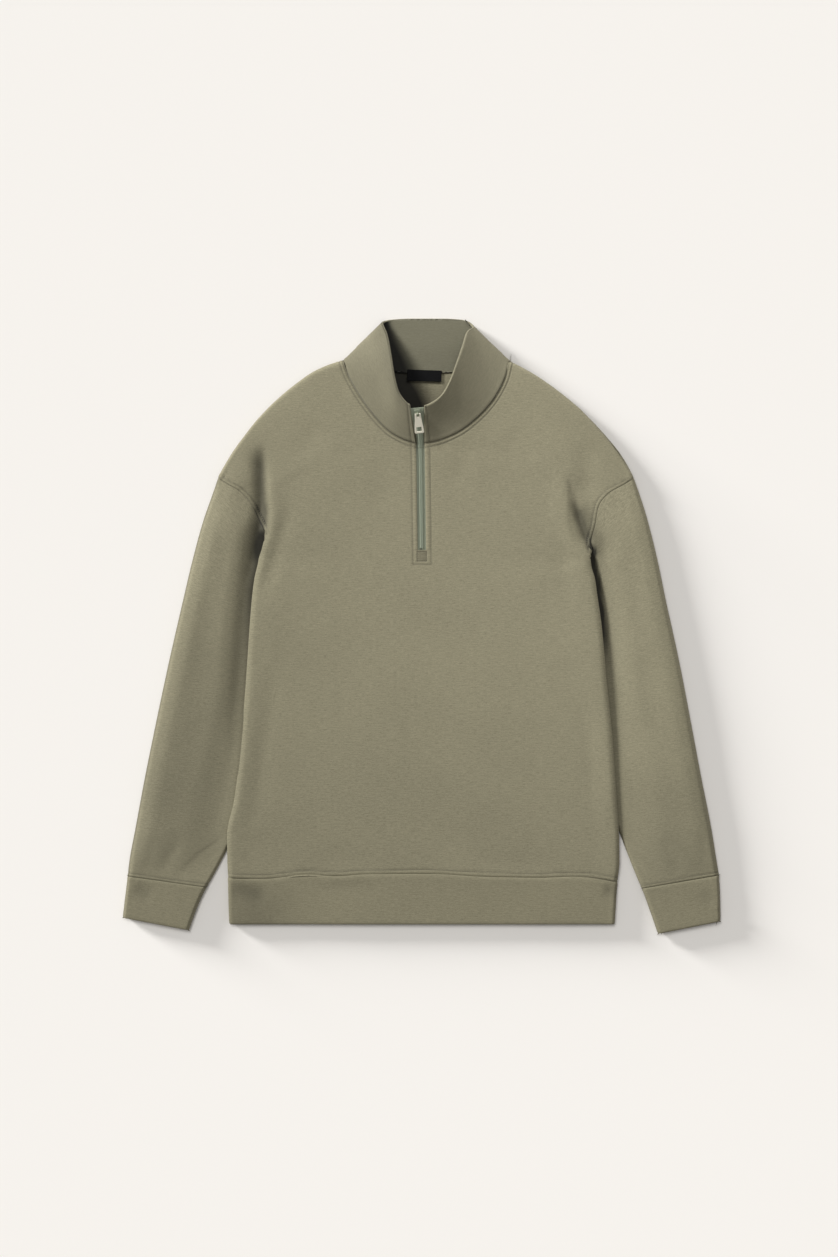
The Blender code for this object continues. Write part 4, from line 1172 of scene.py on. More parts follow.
def build_cuff(name, table, side):
    rows = []
    for ox, oy, ix, iy in table:
        rows.append(band_section((ox, oy), (ix, iy), CUFF_OVER))
    grid = loft(rows, BAND_ALONG)
    over = len(CUFF_OVER) - 1
    seam = Seam(grid[0][: over + 1])
    mouth = Seam(grid[-1][: over + 1])

    def shift(point, i, j):
        moved = 0.0
        d = seam(point)
        moved += -0.35 * bell(d, 0.9) + 0.25 * bell(d - 3.0, 1.6)
        moved += -0.7 * bell(mouth(point), 1.6)
        if 3 < j < over - 3:
            moved += (swell(point, 90.0) * 0.6 + band_fold(point)) * rise(i, 0, 4)
        return -moved if side < 0 else moved

    shaped = pressed(grid, shift)
    for row in shaped:
        row[-1] = row[0].copy()
        for point in row:
            point.z = max(point.z, 0.0)
    places = lengths_on_cloth(shaped, over // 2, run_along(shaped, over // 2))

    # Painted shade along the seam and in the hollows below it.
    def painted_shade_at(i, j):
        if j > over:
            return 0.0
        return max(SEAM_SHADE * bell(seam(grid[i][j]), 1.0), -0.5 * band_fold(grid[i][j]))

    piece = cloth(
        name + "_cloth", shaped, DOUBLED, FINISHES["band_knit"], places,
        ring=True, flip=side < 0, edge=1.1, painted_shade_at=painted_shade_at
    )
    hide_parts(name)
    return piece


def band_height(distance):
    """How far a flattened band's face stands off its middle, so near its rolled edge."""
    short = max(1 - distance / BAND_ROLL, 0.0)
    return 0.5 * BAND_TOP * math.sqrt(max(1 - short**2, 0.0))


def build_hem():
    seam_x = [point.x for point in half_front(-1)[0][::-1] + half_front(1)[0]]
    low, high = min(seam_x), max(seam_x)
    width = high - low
    shares = [0.0, 0.0006, 0.0025, 0.0055, 0.0095]
    shares += [0.015 + 0.97 * k / 150 for k in range(151)]
    shares += [1 - f for f in shares[4::-1]]
    rows = []
    for right_x, right_y, left_x, left_y in HEM_BAND:
        width = left_x - right_x
        row = []
        for k, f in enumerate(shares + shares[-2::-1]):
            away = band_height(width * min(f, 1 - f)) * (1 if k < len(shares) else -1)
            y = right_y + (left_y - right_y) * f
            row.append(Vector((right_x + width * f, y, 0.5 * BAND_TOP + away)))
        rows.append(row)
    for point in rows[0][: len(shares)]:
        point.y = hem_y(point.x) - 0.1
    for point in rows[0][len(shares) :]:
        point.y = back_hem_y(point.x) - 0.1
    grid = loft(rows, BAND_ALONG)
    over = len(shares) - 1
    seam = Seam(grid[0][: over + 1])
    mouth = Seam(grid[-1][: over + 1])

    def shift(point, i, j):
        moved = -0.35 * bell(seam(point), 0.9) + 0.25 * bell(seam(point) - 3.2, 1.8)
        moved += -0.8 * bell(mouth(point), 1.6)
        if 4 < j < over - 4:
            moved += (swell(point, 20.0) * 0.7 + band_fold(point)) * rise(i, 0, 4)
        return -moved

    shaped = pressed(grid, shift)
    for row in shaped:
        row[-1] = row[0].copy()
        for point in row:
            point.z = max(point.z, 0.0)

    # Painted shade along the seam and in the hollows below it.
    def painted_shade_at(i, j):
        if j > over:
            return 0.0
        return max(SEAM_SHADE * bell(seam(grid[i][j]), 1.0), -0.5 * band_fold(grid[i][j]))

    places = lengths_on_cloth(shaped, over // 2, run_along(shaped, over // 2))
    piece = cloth(
        "hem_band_cloth", shaped, DOUBLED, FINISHES["band_knit"], places,
        ring=True, flip=True, edge=1.1, painted_shade_at=painted_shade_at
    )
    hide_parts("hem_band")
    return piece


COLLAR_BULGE = 1.2
COLLAR_STANDS = 30.0
COLLAR_UP = [0.0, 0.015, 0.035, 0.06, 0.09, 0.12]
COLLAR_UP += [0.12 + 0.8 * k / 22 for k in range(1, 23)]
COLLAR_UP += [0.945, 0.965, 0.985, 1.0]
COLLAR_ROUND = graded(
    (10, 0.8, 1.6), (8, 1, 1), (8, 1, 1), (8, 1, 1), (7, 1, 1), (7, 1, 1), (3, 1, 1), (6, 1, 1), (10, 1, 1),
    (12, 1, 1), (12, 1, 1), (10, 1, 1), (6, 1, 1), (3, 1, 1), (7, 1, 1), (7, 1, 1), (8, 1, 1), (8, 1, 1),
    (8, 1, 1), (10, 1.6, 0.8),
)


def collar_front(side):
    """The collar's sections in front, as (bottom, top), with the bottom just inside the neckline."""
    pick = 0 if side < 0 else 1
    neckline = [Vector((row[pick], row[2])) for row in NECKLINE]
    neckline[0].x = zip_x(NECKLINE[0][2]) + side * SLOT_HALF
    sections = []
    table = COLLAR_RIGHT if side < 0 else COLLAR_LEFT
    for i, row in enumerate(table):
        after = neckline[min(i + 1, len(neckline) - 1)]
        before = neckline[max(i - 1, 0)]
        along = (after - before).normalized()
        inward = Vector((-side * along.y, side * along.x))
        low = neckline[i] - inward * 1.4
        sections.append((Vector((low.x, low.y, row[0])), Vector(row[1:])))
    return sections


def build_collar():
    behind = [(Vector(row[:3]), Vector(row[3:])) for row in COLLAR_BACK]
    sections = collar_front(-1) + behind + collar_front(1)[::-1]
    lows = spline([low for low, high in sections], COLLAR_ROUND)
    highs = spline([high for low, high in sections], COLLAR_ROUND)
    grid = []
    for v in COLLAR_UP:
        row = []
        for low, high in zip(lows, highs):
            point = low.lerp(high, v)
            point.z -= COLLAR_BULGE * 4 * v * (1 - v) * min(high.z / COLLAR_STANDS, 1.0)
            row.append(point)
        grid.append(row)
    run = run_along(list(zip(*grid)), 0)
    ends = run[-1]

    def shift(point, i, j):
        height = (highs[j] - lows[j]).length
        d = COLLAR_UP[i] * height
        front = 1 - rise(min(run[j], ends - run[j]), 120.0, 175.0)
        moved = -0.6 * bell(d, 2.0) * front + 0.3 * bell(d - 4.0, 1.8)
        moved += front * 0.8 * math.sin(run[j] / 17.0 + 0.8) * math.sin(math.pi * COLLAR_UP[i])
        if point.y < 300 and abs(point.x) < 40:
            beside = abs(point.x - zip_x(point.y))
            moved += groove(beside, 11.5, 0.45, 0.75) + 0.3 * bell(beside - 8.0, 1.8)
        return -moved

    shaped = pressed(grid, shift)
    for row in shaped:
        for point in row:
            point.z = max(point.z, 0.0)

    # Painted shade: along the neck seam and the stitching beside the zip, the painted shadow at the back
    # under the collar's front, and on the lit top edge of the right front.
    def painted_shade_at(i, j):
        point = grid[i][j]
        d = COLLAR_UP[i] * (highs[j] - lows[j]).length
        beside = abs(point.x - zip_x(point.y)) - 11.5 if point.y < 300 and abs(point.x) < 40 else 9.0
        behind = len(COLLAR_RIGHT) - 0.5 < COLLAR_ROUND[j] < len(COLLAR_RIGHT) + len(COLLAR_BACK) - 0.5
        painted_rim_shade = 0.75 * rise(COLLAR_UP[i], 0.55, 1.0) * (1 - rise(point.x, -32.0, -12.0))
        return max(SEAM_SHADE * bell(d, 1.0), bell(beside, 0.9), throat_shade(point) if behind else painted_rim_shade)

    places = lengths_on_cloth(shaped, 0, run_along(shaped, len(shaped[0]) // 2))
    piece = cloth(
        "collar_cloth", shaped, DOUBLED, FINISHES["collar_knit"], places, flip=True, edge=1.2, painted_shade_at=painted_shade_at
    )
    piece.modifiers["Edge"].segments = 4
    # The collar's inner faces take the darkest copy of the knit, a painted shade.
    piece.data.materials.append(FINISHES["collar_inside"])
    piece.modifiers["Wall"].material_offset = 1
    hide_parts("collar")
    SURFACES["collar"] = surface_of(shaped)
    return piece


def zip_frame(y):
    """The zip's face at y: a point on it, and unit vectors along it, across it and out of it."""
    step = 4.0

    def face(at):
        return Vector((zip_x(at), at, table_value(ZIP_LINE, at, value=2)))

    along = (face(y + step) - face(y - step)).normalized()
    across = Vector((along.y, -along.x, 0.0)).normalized()
    return face(y), along, across, across.cross(along)


TAPE_ROWS = (
    (83.0, 13.0),
    (117.0, 13.0),
    (152.0, 13.0),
    (186.0, 13.0),
    (210.0, 13.0),
    (222.0, 12.0),
    (227.0, 4.3),
    (232.0, 4.3),
    (238.0, 4.4),
    (244.0, 5.8),
    (256.0, 7.1),
    (271.0, 8.7),
)
TAPE_THICK = 0.7
TAPE_GAP = 0.04
TAPE_COLUMNS = 8


def build_tape(name, side):
    rows = []
    for y, reach in TAPE_ROWS:
        face, _, across, _ = zip_frame(y)
        inner = face + across * side * 0.5 * TAPE_GAP
        outer = face + across * side * reach
        rows.append([inner.lerp(outer, k / TAPE_COLUMNS) for k in range(TAPE_COLUMNS + 1)])
    counts = (14, 14, 14, 10, 6, 3, 3, 4, 4, 6, 8)
    grid = []
    for a, b, count in zip(rows, rows[1:], counts):
        for k in range(count):
            grid.append([p.lerp(q, k / count) for p, q in zip(a, b)])
    grid.append(rows[-1])
    places = lengths_on_cloth(grid, 0, run_along(grid, 0))
    piece = cloth(name + "_woven", grid, TAPE_THICK, FINISHES["tape"], places, flip=side < 0, edge=0.15)
    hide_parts(name)
    return piece


CHAIN_FROM = 97.0
CHAIN_TO = 260.5
TOOTH_PITCH = 1.3


def add_grain(bm, matrix, sides=6, rings=4):
    """One small rounded grain, such as a tooth or a stitch, of unit size before its matrix."""
    bmesh.ops.create_uvsphere(bm, u_segments=sides, v_segments=rings, radius=0.5, matrix=matrix)


def build_chain():
    """Interlocking coil teeth on a cord, each pair of rows half a pitch apart."""
    bm = bmesh.new()
    count = int((CHAIN_TO - CHAIN_FROM) / TOOTH_PITCH)
    for k in range(2 * count):
        side = -1 if k % 2 else 1
        y = CHAIN_FROM + (k + 0.5) * 0.5 * TOOTH_PITCH
        face, along, across, out = zip_frame(y)
        place = face + across * side * 0.95 + out * (SEAM_GAP + 0.72)
        turn = Matrix((across, along, out)).transposed().to_4x4()
        size = Matrix.Diagonal((2.7, 1.1, 1.3, 1.0))
        add_grain(bm, Matrix.Translation(place * MM) @ turn @ size @ Matrix.Scale(MM, 4), 8, 6)
    piece = new_piece("zip_coil", bm, FINISHES["coil"])
    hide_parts("zip_chain")
    return piece


def build_cords():
    """The rolled cord along each side of the teeth, which the coil is sewn down with."""
    for name, side in (("zip_cord_right", -1), ("zip_cord_left", 1)):
        rows = []
        steps = 60
        for k in range(steps + 1):
            y = CHAIN_FROM - 0.5 + (CHAIN_TO + 0.3 - CHAIN_FROM) * k / steps
            face, _, across, out = zip_frame(y)
            row = []
            for m in range(9):
                angle = math.pi * m / 8
                beside = across * (side * 1.75 - 0.8 * math.cos(angle))
                row.append(face + beside + out * (0.12 + 0.95 * math.sin(angle)))
            rows.append(row)
        places = lengths_on_cloth(rows, 0, run_along(rows, 4))
        piece = cloth(name, rows, 0.3, FINISHES["tape"], places, edge=0)


SLIDER_Y = 265.5
SLIDER_THICK = 3.4
BAIL_RADIUS = 1.9
BAIL_HEIGHT = 3.3
BAIL_WIRE = 0.55
PULL_AXIS_UP = 1.3
PULL_REST_TILT = math.radians(-5.2)
PULL_TOP_WIDTH = 7.6
PULL_END_WIDTH = 11.6
PULL_THICK = 1.3


def zip_matrix(y, lift=0.0, tilt=0.0):
    """The zip's local frame at y in world space, lifted off its face and tipped about its x."""
    face, along, across, out = zip_frame(y)
    turn = Matrix((across, along, out)).transposed().to_4x4()
    return Matrix.Translation((face + out * lift) * MM) @ turn @ Matrix.Rotation(tilt, 4, "X")


def rounded_block(bm, length, width, height, at, taper, round_by, segments=3):
    made = bmesh.ops.create_cube(bm, size=1.0)["verts"]
    for vert in made:
        narrow = 1.0 - taper * (0.5 - vert.co.y)
        vert.co = Vector((vert.co.x * width * narrow, vert.co.y * length, vert.co.z * height))
        vert.co += Vector(at)
    edges = list({edge for vert in made for edge in vert.link_edges})
    bmesh.ops.bevel(
        bm, geom=edges, offset=round_by, offset_type="OFFSET", segments=segments, profile=0.5,
        affect="EDGES", material=-1,
    )


def build_slider():
    """Two plates on a post, with the teeth running between them, and the bail that holds the pull."""
    bm = bmesh.new()
    rounded_block(bm, 9.0, 7.6, 1.1, (0, 0, -0.55), 0.25, 0.45)
    rounded_block(bm, 9.0, 7.6, 0.9, (0, 0, -2.95), 0.25, 0.4)
    rounded_block(bm, 2.4, 1.8, 1.6, (0, 2.6, -1.75), 0.0, 0.3)
    for side in (-1, 1):
        rounded_block(bm, 6.2, 0.7, 1.0, (side * 3.1, -0.6, -1.35), 0.0, 0.25)
    arch = bmesh.ops.create_circle(bm, segments=12, radius=BAIL_WIRE, cap_ends=False)["verts"]
    for vert in arch:
        vert.co = Vector((vert.co.x, BAIL_RADIUS, 0)) + Vector((0, vert.co.y, 0))
    ring = list({edge for vert in arch for edge in vert.link_edges})
    bmesh.ops.spin(
        bm, geom=ring, cent=(0, 0, 0), axis=(1, 0, 0),
        angle=math.pi, steps=16, use_merge=False, use_normal_flip=False
    )
    bmesh.ops.holes_fill(bm, edges=[edge for edge in bm.edges if edge.is_boundary], sides=0)
    lift = BAIL_HEIGHT / BAIL_RADIUS
    for vert in bm.verts:
        if vert.co.z > 1e-6:
            vert.co.z *= lift
    bmesh.ops.recalc_face_normals(bm, faces=bm.faces[:])
    bm.transform(zip_matrix(SLIDER_Y, SEAM_GAP + SLIDER_THICK) @ Matrix.Scale(MM, 4))
    piece = new_piece("zip_slider_metal", bm, FINISHES["painted"])
    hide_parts("zip_slider")
    return piece


PULL_COLUMNS = (-1.0, -0.62, -0.36, 0.0, 0.36, 0.62, 1.0)
PULL_ROWS = (
    0.45, -0.25, -1.0, -1.9, -2.8, -3.6, -5.2, -9.0, -13.0,
    -16.0, -17.0, -18.3, -19.7, -21.0, -22.4, -23.6, -25.0,
)


def build_pull():
    """The tab: a flat bar with an eye for the bail and a window near its end."""
    bm = bmesh.new()
    columns, rows = len(PULL_COLUMNS), len(PULL_ROWS)
    bmesh.ops.create_grid(bm, x_segments=columns - 1, y_segments=rows - 1, size=0.5)
    where = {}
    for vert in bm.verts:
        j = round((vert.co.x + 0.5) * (columns - 1))
        i = round((0.5 - vert.co.y) * (rows - 1))
        where[vert] = (i, j)
        y = PULL_ROWS[i]
        f = rise(-y, 1.0, 24.0)
        half = 0.5 * (PULL_TOP_WIDTH + (PULL_END_WIDTH - PULL_TOP_WIDTH) * f)
        half *= 0.86 if i in (0, rows - 1) else 1.0
        x = PULL_COLUMNS[j] * half
        if abs(PULL_COLUMNS[j]) == 0.36 and y > -6:
            x = math.copysign(1.5, PULL_COLUMNS[j])
        if abs(PULL_COLUMNS[j]) == 0.62 and y < -12:
            x = math.copysign(3.1, PULL_COLUMNS[j])
        vert.co = Vector((x, y, 0.0))
    holes = []
    for face in bm.faces:
        i = min(where[vert][0] for vert in face.verts)
        j = min(where[vert][1] for vert in face.verts)
        if (1 <= i <= 4 and j in (2, 3)) or (10 <= i <= 13 and 1 <= j <= 4):
            holes.append(face)
    bmesh.ops.delete(bm, geom=holes, context="FACES")
    bmesh.ops.recalc_face_normals(bm, faces=bm.faces[:])
    if bm.faces[:][0].normal.z < 0:
        bmesh.ops.reverse_faces(bm, faces=bm.faces[:])
    bmesh.ops.solidify(bm, geom=bm.faces[:], thickness=PULL_THICK)
    bmesh.ops.recalc_face_normals(bm, faces=bm.faces[:])
    low = min(vert.co.z for vert in bm.verts)
    high = max(vert.co.z for vert in bm.verts)
    for vert in bm.verts:
        vert.co.z -= 0.5 * (low + high)
    lift = SEAM_GAP + SLIDER_THICK + PULL_AXIS_UP
    bm.transform(zip_matrix(SLIDER_Y, lift, PULL_REST_TILT) @ Matrix.Scale(MM, 4))
    piece = new_piece("zip_pull_metal", bm, FINISHES["silver"], body="pull")
    bevel = piece.modifiers.new("Edge", "BEVEL")
    bevel.width = 0.32 * MM
    bevel.segments = 3
    bevel.limit_method = "ANGLE"
    bevel.angle_limit = math.radians(40)
    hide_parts("zip_pull")
    return piece


LABEL_WIDTH = 43.0
LABEL_HEIGHT = 14.0
LABEL_THICK = 0.6
LABEL_X = 4.2
LABEL_Y = 313.4
LABEL_TILT = math.radians(-2.0)


def build_label():
    """A woven label, left bare, folded under at its ends, where it is sewn down."""
    columns, rows = 44, 14
    grid = []
    turn = Matrix.Rotation(LABEL_TILT, 2)
    for i in range(rows + 1):
        line = []
        for j in range(columns + 1):
            x = LABEL_WIDTH * (j / columns - 0.5)
            y = LABEL_HEIGHT * (i / rows - 0.5)
            z = DOUBLED + SEAM_GAP + LABEL_THICK
            z -= 0.2 * bell(abs(x) - 0.5 * LABEL_WIDTH + 1.8, 0.5)
            z += 0.12 * math.sin(x / 5.0) * (0.5 + y / LABEL_HEIGHT)
            at = turn @ Vector((x, y))
            line.append(Vector((LABEL_X + at.x, LABEL_Y + at.y, z)))
        grid.append(line)
    places = lengths_on_cloth(grid, 0, run_along(grid, 0))
    piece = cloth("neck_label_woven", grid, LABEL_THICK, FINISHES["label"], places, edge=0.12)
    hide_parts("neck_label")
    return piece


def build_stitches(name, lines, surface, length=2.6, thread="thread", width=0.5):
    """Short rounded stitches that follow lines on a surface, half sunk in it."""
    bm = bmesh.new()
    for line in lines:
        walked, start = 0.0, line[0]
        for a, b in zip(line, line[1:]):
            walked += (b - a).length
            if walked < length:
                continue
            walked = 0.0
            middle, way = (start + b) * 0.5, b - start
            start = b
            found = surface.ray_cast(Vector((middle.x, middle.y, 60.0)) * MM, Vector((0, 0, -1)))
            if found[0] is None or way.length < 1e-6:
                continue
            up = found[1] if found[1].z > 0 else -found[1]
            along = Vector((way.x, way.y, 0.0))
            along = (along - up * along.dot(up)).normalized()
            across = up.cross(along)
            turn = Matrix((along, across, up)).transposed().to_4x4()
            size = Matrix.Diagonal((length * 0.86, width, 0.36, 1.0))
            place = found[0] + up * 0.05 * MM
            add_grain(bm, Matrix.Translation(place) @ turn @ size @ Matrix.Scale(MM, 4))
    piece = new_piece(name, bm, FINISHES[thread])
    return piece


def nodes_of(name):
    made = bpy.data.materials.new(name)
    made.use_nodes = True
    tree = made.node_tree
    return made, tree, tree.nodes["Principled BSDF"]


def add_node(tree, kind, **settings):
    """A node with its properties set, and its sockets by name: values as they are, and links as sockets."""
    node = tree.nodes.new(kind)
    sockets = settings.pop("sockets", {})
    for key, value in settings.items():
        setattr(node, key, value)
    for key, value in sockets.items():
        socket = node.inputs[key]
        if isinstance(value, bpy.types.NodeSocket):
            tree.links.new(value, socket)
        else:
            socket.default_value = value
    return node


def new_group(name, inputs, outputs):
    tree = bpy.data.node_groups.new(name, "ShaderNodeTree")
    for label, kind, value in inputs:
        socket = tree.interface.new_socket(label, in_out="INPUT", socket_type=kind)
        if value is not None:
            socket.default_value = value
    for label in outputs:
        tree.interface.new_socket(label, in_out="OUTPUT", socket_type="NodeSocketFloat")
    return tree, tree.nodes.new("NodeGroupInput"), tree.nodes.new("NodeGroupOutput")


def scuba_knit_group():
    """Smooth double knit: fine wales and courses, and a heather of long thin streaks across."""
    tree, given, out = new_group(
        "scuba_knit",
        [
            ("Place", "NodeSocketVector", None),
            ("Wales per metre", "NodeSocketFloat", 1250.0),
            ("Courses per metre", "NodeSocketFloat", 1500.0),
        ],
        ["Heather", "Loops", "Unevenness"],
    )
    place = given.outputs["Place"]

    def stretched(x, y):
        scale = add_node(
            tree, "ShaderNodeVectorMath", operation="MULTIPLY", sockets={0: place, 1: (x, y, 1.0)}
        )
        return scale.outputs["Vector"]

    def noise(vector, detail, rough=0.5):
        made = add_node(
            tree, "ShaderNodeTexNoise",
            sockets={"Vector": vector, "Scale": 1.0, "Detail": detail, "Roughness": rough}
        )
        return made.outputs["Fac"]

    def mixed(a, b, share):
        made = add_node(tree, "ShaderNodeMix", data_type="FLOAT", sockets={"Factor": share, "A": a, "B": b})
        return made.outputs["Result"]

    long_streaks = noise(stretched(70.0, 760.0), 2.0, 0.6)
    short_streaks = noise(stretched(230.0, 1100.0), 2.0, 0.6)
    flecks = noise(stretched(900.0, 1300.0), 1.0)
    streaks = mixed(long_streaks, short_streaks, 0.6)
    heather = mixed(streaks, flecks, 0.35)
    spread = add_node(
        tree, "ShaderNodeMapRange", sockets={"Value": heather, "From Min": 0.39, "From Max": 0.61}
    )
    split = add_node(tree, "ShaderNodeSeparateXYZ", sockets={"Vector": place})

    def wave(value, count):
        turns = add_node(tree, "ShaderNodeMath", operation="MULTIPLY", sockets={0: value, 1: count})
        full = add_node(
            tree, "ShaderNodeMath", operation="MULTIPLY", sockets={0: turns.outputs[0], 1: 2 * math.pi}
        )
        return add_node(tree, "ShaderNodeMath", operation="SINE", sockets={0: full.outputs[0]}).outputs[0]

    wales = wave(split.outputs["X"], given.outputs["Wales per metre"])
    courses = wave(split.outputs["Y"], given.outputs["Courses per metre"])
    loops = add_node(
        tree, "ShaderNodeMath", operation="MULTIPLY_ADD", sockets={0: wales, 1: courses, 2: wales}
    )
    tree.links.new(spread.outputs["Result"], out.inputs["Heather"])
    tree.links.new(loops.outputs[0], out.inputs["Loops"])
    tree.links.new(noise(stretched(9.0, 13.0), 2.0), out.inputs["Unevenness"])
    return tree


def bump_of(tree, height, distance, strength=1.0):
    made = add_node(
        tree, "ShaderNodeBump", sockets={"Height": height, "Distance": distance, "Strength": strength}
    )
    return made.outputs["Normal"]


def knit_finish(name, light, dark, group):
    made, tree, shader = nodes_of(name)
    uv = add_node(tree, "ShaderNodeUVMap", uv_map="cloth")
    knit = add_node(tree, "ShaderNodeGroup", node_tree=group, sockets={"Place": uv.outputs["UV"]})
    # Painted shade: a vertex attribute that darkens the base colour along seams, in folds and crevices, and
    # under the collar.
    painted_shade_node = add_node(tree, "ShaderNodeAttribute", attribute_name="painted_shade")
    mix = add_node(
        tree, "ShaderNodeMix", data_type="RGBA",
        sockets={"Factor": knit.outputs["Heather"], "A": (*dark, 1.0), "B": (*light, 1.0)},
    )
    patchy = add_node(
        tree, "ShaderNodeMapRange",
        sockets={
            "Value": knit.outputs["Unevenness"],
            "From Min": 0.3, "From Max": 0.7, "To Min": 0.97, "To Max": 1.03,
        },
    )
    # Maps the painted shade to how much the colour is darkened.
    seam = add_node(
        tree, "ShaderNodeMapRange",
        sockets={"Value": painted_shade_node.outputs["Fac"], "From Max": 3.0, "To Min": 1.0, "To Max": 0.06}
    )
    tone = add_node(
        tree, "ShaderNodeMath", operation="MULTIPLY",
        sockets={0: patchy.outputs["Result"], 1: seam.outputs["Result"]}
    )
    shade = add_node(
        tree, "ShaderNodeVectorMath", operation="SCALE",
        sockets={0: mix.outputs["Result"], "Scale": tone.outputs[0]}
    )
    tree.links.new(shade.outputs["Vector"], shader.inputs["Base Color"])
    rough = add_node(
        tree, "ShaderNodeMapRange", sockets={"Value": knit.outputs["Heather"], "To Min": 0.74, "To Max": 0.84}
    )
    tree.links.new(rough.outputs["Result"], shader.inputs["Roughness"])
    tree.links.new(bump_of(tree, knit.outputs["Loops"], 0.00006, 0.5), shader.inputs["Normal"])
    shader.inputs["Specular IOR Level"].default_value = 0.3
    shader.inputs["Sheen Weight"].default_value = 0.12
    shader.inputs["Sheen Roughness"].default_value = 0.45
    return made


def woven_finish(name, light, dark, pitch, roughness):
    """A tight woven band: fine ribs across and threads along."""
    made, tree, shader = nodes_of(name)
    uv = add_node(tree, "ShaderNodeUVMap", uv_map="cloth")
    ribs = add_node(
        tree, "ShaderNodeTexWave", bands_direction="Y",
        sockets={"Vector": uv.outputs["UV"], "Scale": 1.0 / pitch, "Distortion": 0.6, "Detail": 1.0},
    )
    threads = add_node(
        tree, "ShaderNodeTexWave", bands_direction="X",
        sockets={"Vector": uv.outputs["UV"], "Scale": 1.3 / pitch, "Distortion": 0.4, "Detail": 1.0},
    )
    weave = add_node(
        tree, "ShaderNodeMix", data_type="FLOAT",
        sockets={"Factor": 0.4, "A": ribs.outputs["Fac"], "B": threads.outputs["Fac"]},
    )
    mix = add_node(
        tree, "ShaderNodeMix", data_type="RGBA",
        sockets={"Factor": weave.outputs["Result"], "A": (*dark, 1.0), "B": (*light, 1.0)},
    )
    tree.links.new(mix.outputs["Result"], shader.inputs["Base Color"])
    tree.links.new(bump_of(tree, weave.outputs["Result"], 0.0001, 0.5), shader.inputs["Normal"])
    rough = add_node(
        tree, "ShaderNodeMapRange",
        sockets={"Value": weave.outputs["Result"], "To Min": roughness - 0.06, "To Max": roughness + 0.06},
    )
    tree.links.new(rough.outputs["Result"], shader.inputs["Roughness"])
    return made


def metal_finish(name, light, dark, roughness, metallic, scale=2500.0):
    """Tumbled metal with faint fine scratches and a little tarnish."""
    made, tree, shader = nodes_of(name)
    spot = add_node(tree, "ShaderNodeTexCoord")
    tarnish = add_node(
        tree, "ShaderNodeTexNoise",
        sockets={"Vector": spot.outputs["Object"], "Scale": 0.2 * scale, "Detail": 3.0}
    )
    scratches = add_node(
        tree, "ShaderNodeTexNoise", sockets={"Vector": spot.outputs["Object"], "Scale": scale, "Detail": 4.0}
    )
    mix = add_node(
        tree, "ShaderNodeMix", data_type="RGBA",
        sockets={"Factor": tarnish.outputs["Fac"], "A": (*dark, 1.0), "B": (*light, 1.0)},
    )
    tree.links.new(mix.outputs["Result"], shader.inputs["Base Color"])
    rough = add_node(
        tree, "ShaderNodeMapRange",
        sockets={"Value": scratches.outputs["Fac"], "To Min": roughness - 0.1, "To Max": roughness + 0.1},
    )
    tree.links.new(rough.outputs["Result"], shader.inputs["Roughness"])
    tree.links.new(bump_of(tree, scratches.outputs["Fac"], 0.00002, 0.4), shader.inputs["Normal"])
    shader.inputs["Metallic"].default_value = metallic
    return made


def make_finishes():
    knit = scuba_knit_group()
    FINISHES["knit"] = knit_finish("scuba_knit_cloth", (0.316, 0.290, 0.193), (0.203, 0.185, 0.118), knit)
    FINISHES["band_knit"] = knit_finish(
        "scuba_knit_bands", (0.296, 0.271, 0.179), (0.198, 0.180, 0.114), knit
    )
    # Darker copies of the knit for the collar and, darker still, for its inner faces: painted shade on the
    # same cloth.
    FINISHES["collar_knit"] = knit_finish(
        "scuba_knit_collar_painted_shade", (0.258, 0.238, 0.161), (0.196, 0.180, 0.118), knit
    )
    FINISHES["collar_inside"] = knit_finish(
        "scuba_knit_inside_painted_shade", (0.190, 0.180, 0.124), (0.148, 0.140, 0.094), knit
    )
    FINISHES["tape"] = woven_finish(
        "zip_tape_weave", (0.350, 0.385, 0.285), (0.270, 0.300, 0.220), 0.0008, 0.6
    )
    FINISHES["coil"] = woven_finish(
        "zip_coil_gloss", (0.345, 0.385, 0.285), (0.290, 0.325, 0.240), 0.0011, 0.42
    )
    FINISHES["label"] = woven_finish("label_satin", (0.006, 0.006, 0.007), (0.003, 0.003, 0.003), 0.0005, 0.8)
    nodes_of_label = FINISHES["label"].node_tree.nodes["Principled BSDF"]
    nodes_of_label.inputs["Specular IOR Level"].default_value = 0.12
    FINISHES["thread"] = woven_finish(
        "sewing_thread", (0.255, 0.236, 0.155), (0.175, 0.160, 0.105), 0.0006, 0.6
    )
    FINISHES["painted"] = metal_finish("zip_slider_paint", (0.30, 0.33, 0.24), (0.22, 0.25, 0.18), 0.38, 0.35)
    FINISHES["silver"] = metal_finish("zip_pull_silver", (0.94, 0.89, 0.74), (0.86, 0.81, 0.66), 0.45, 0.35)


def offset_seams():
    SEAMS["frame"] = frame_line()
    SEAMS["box"] = box_line()


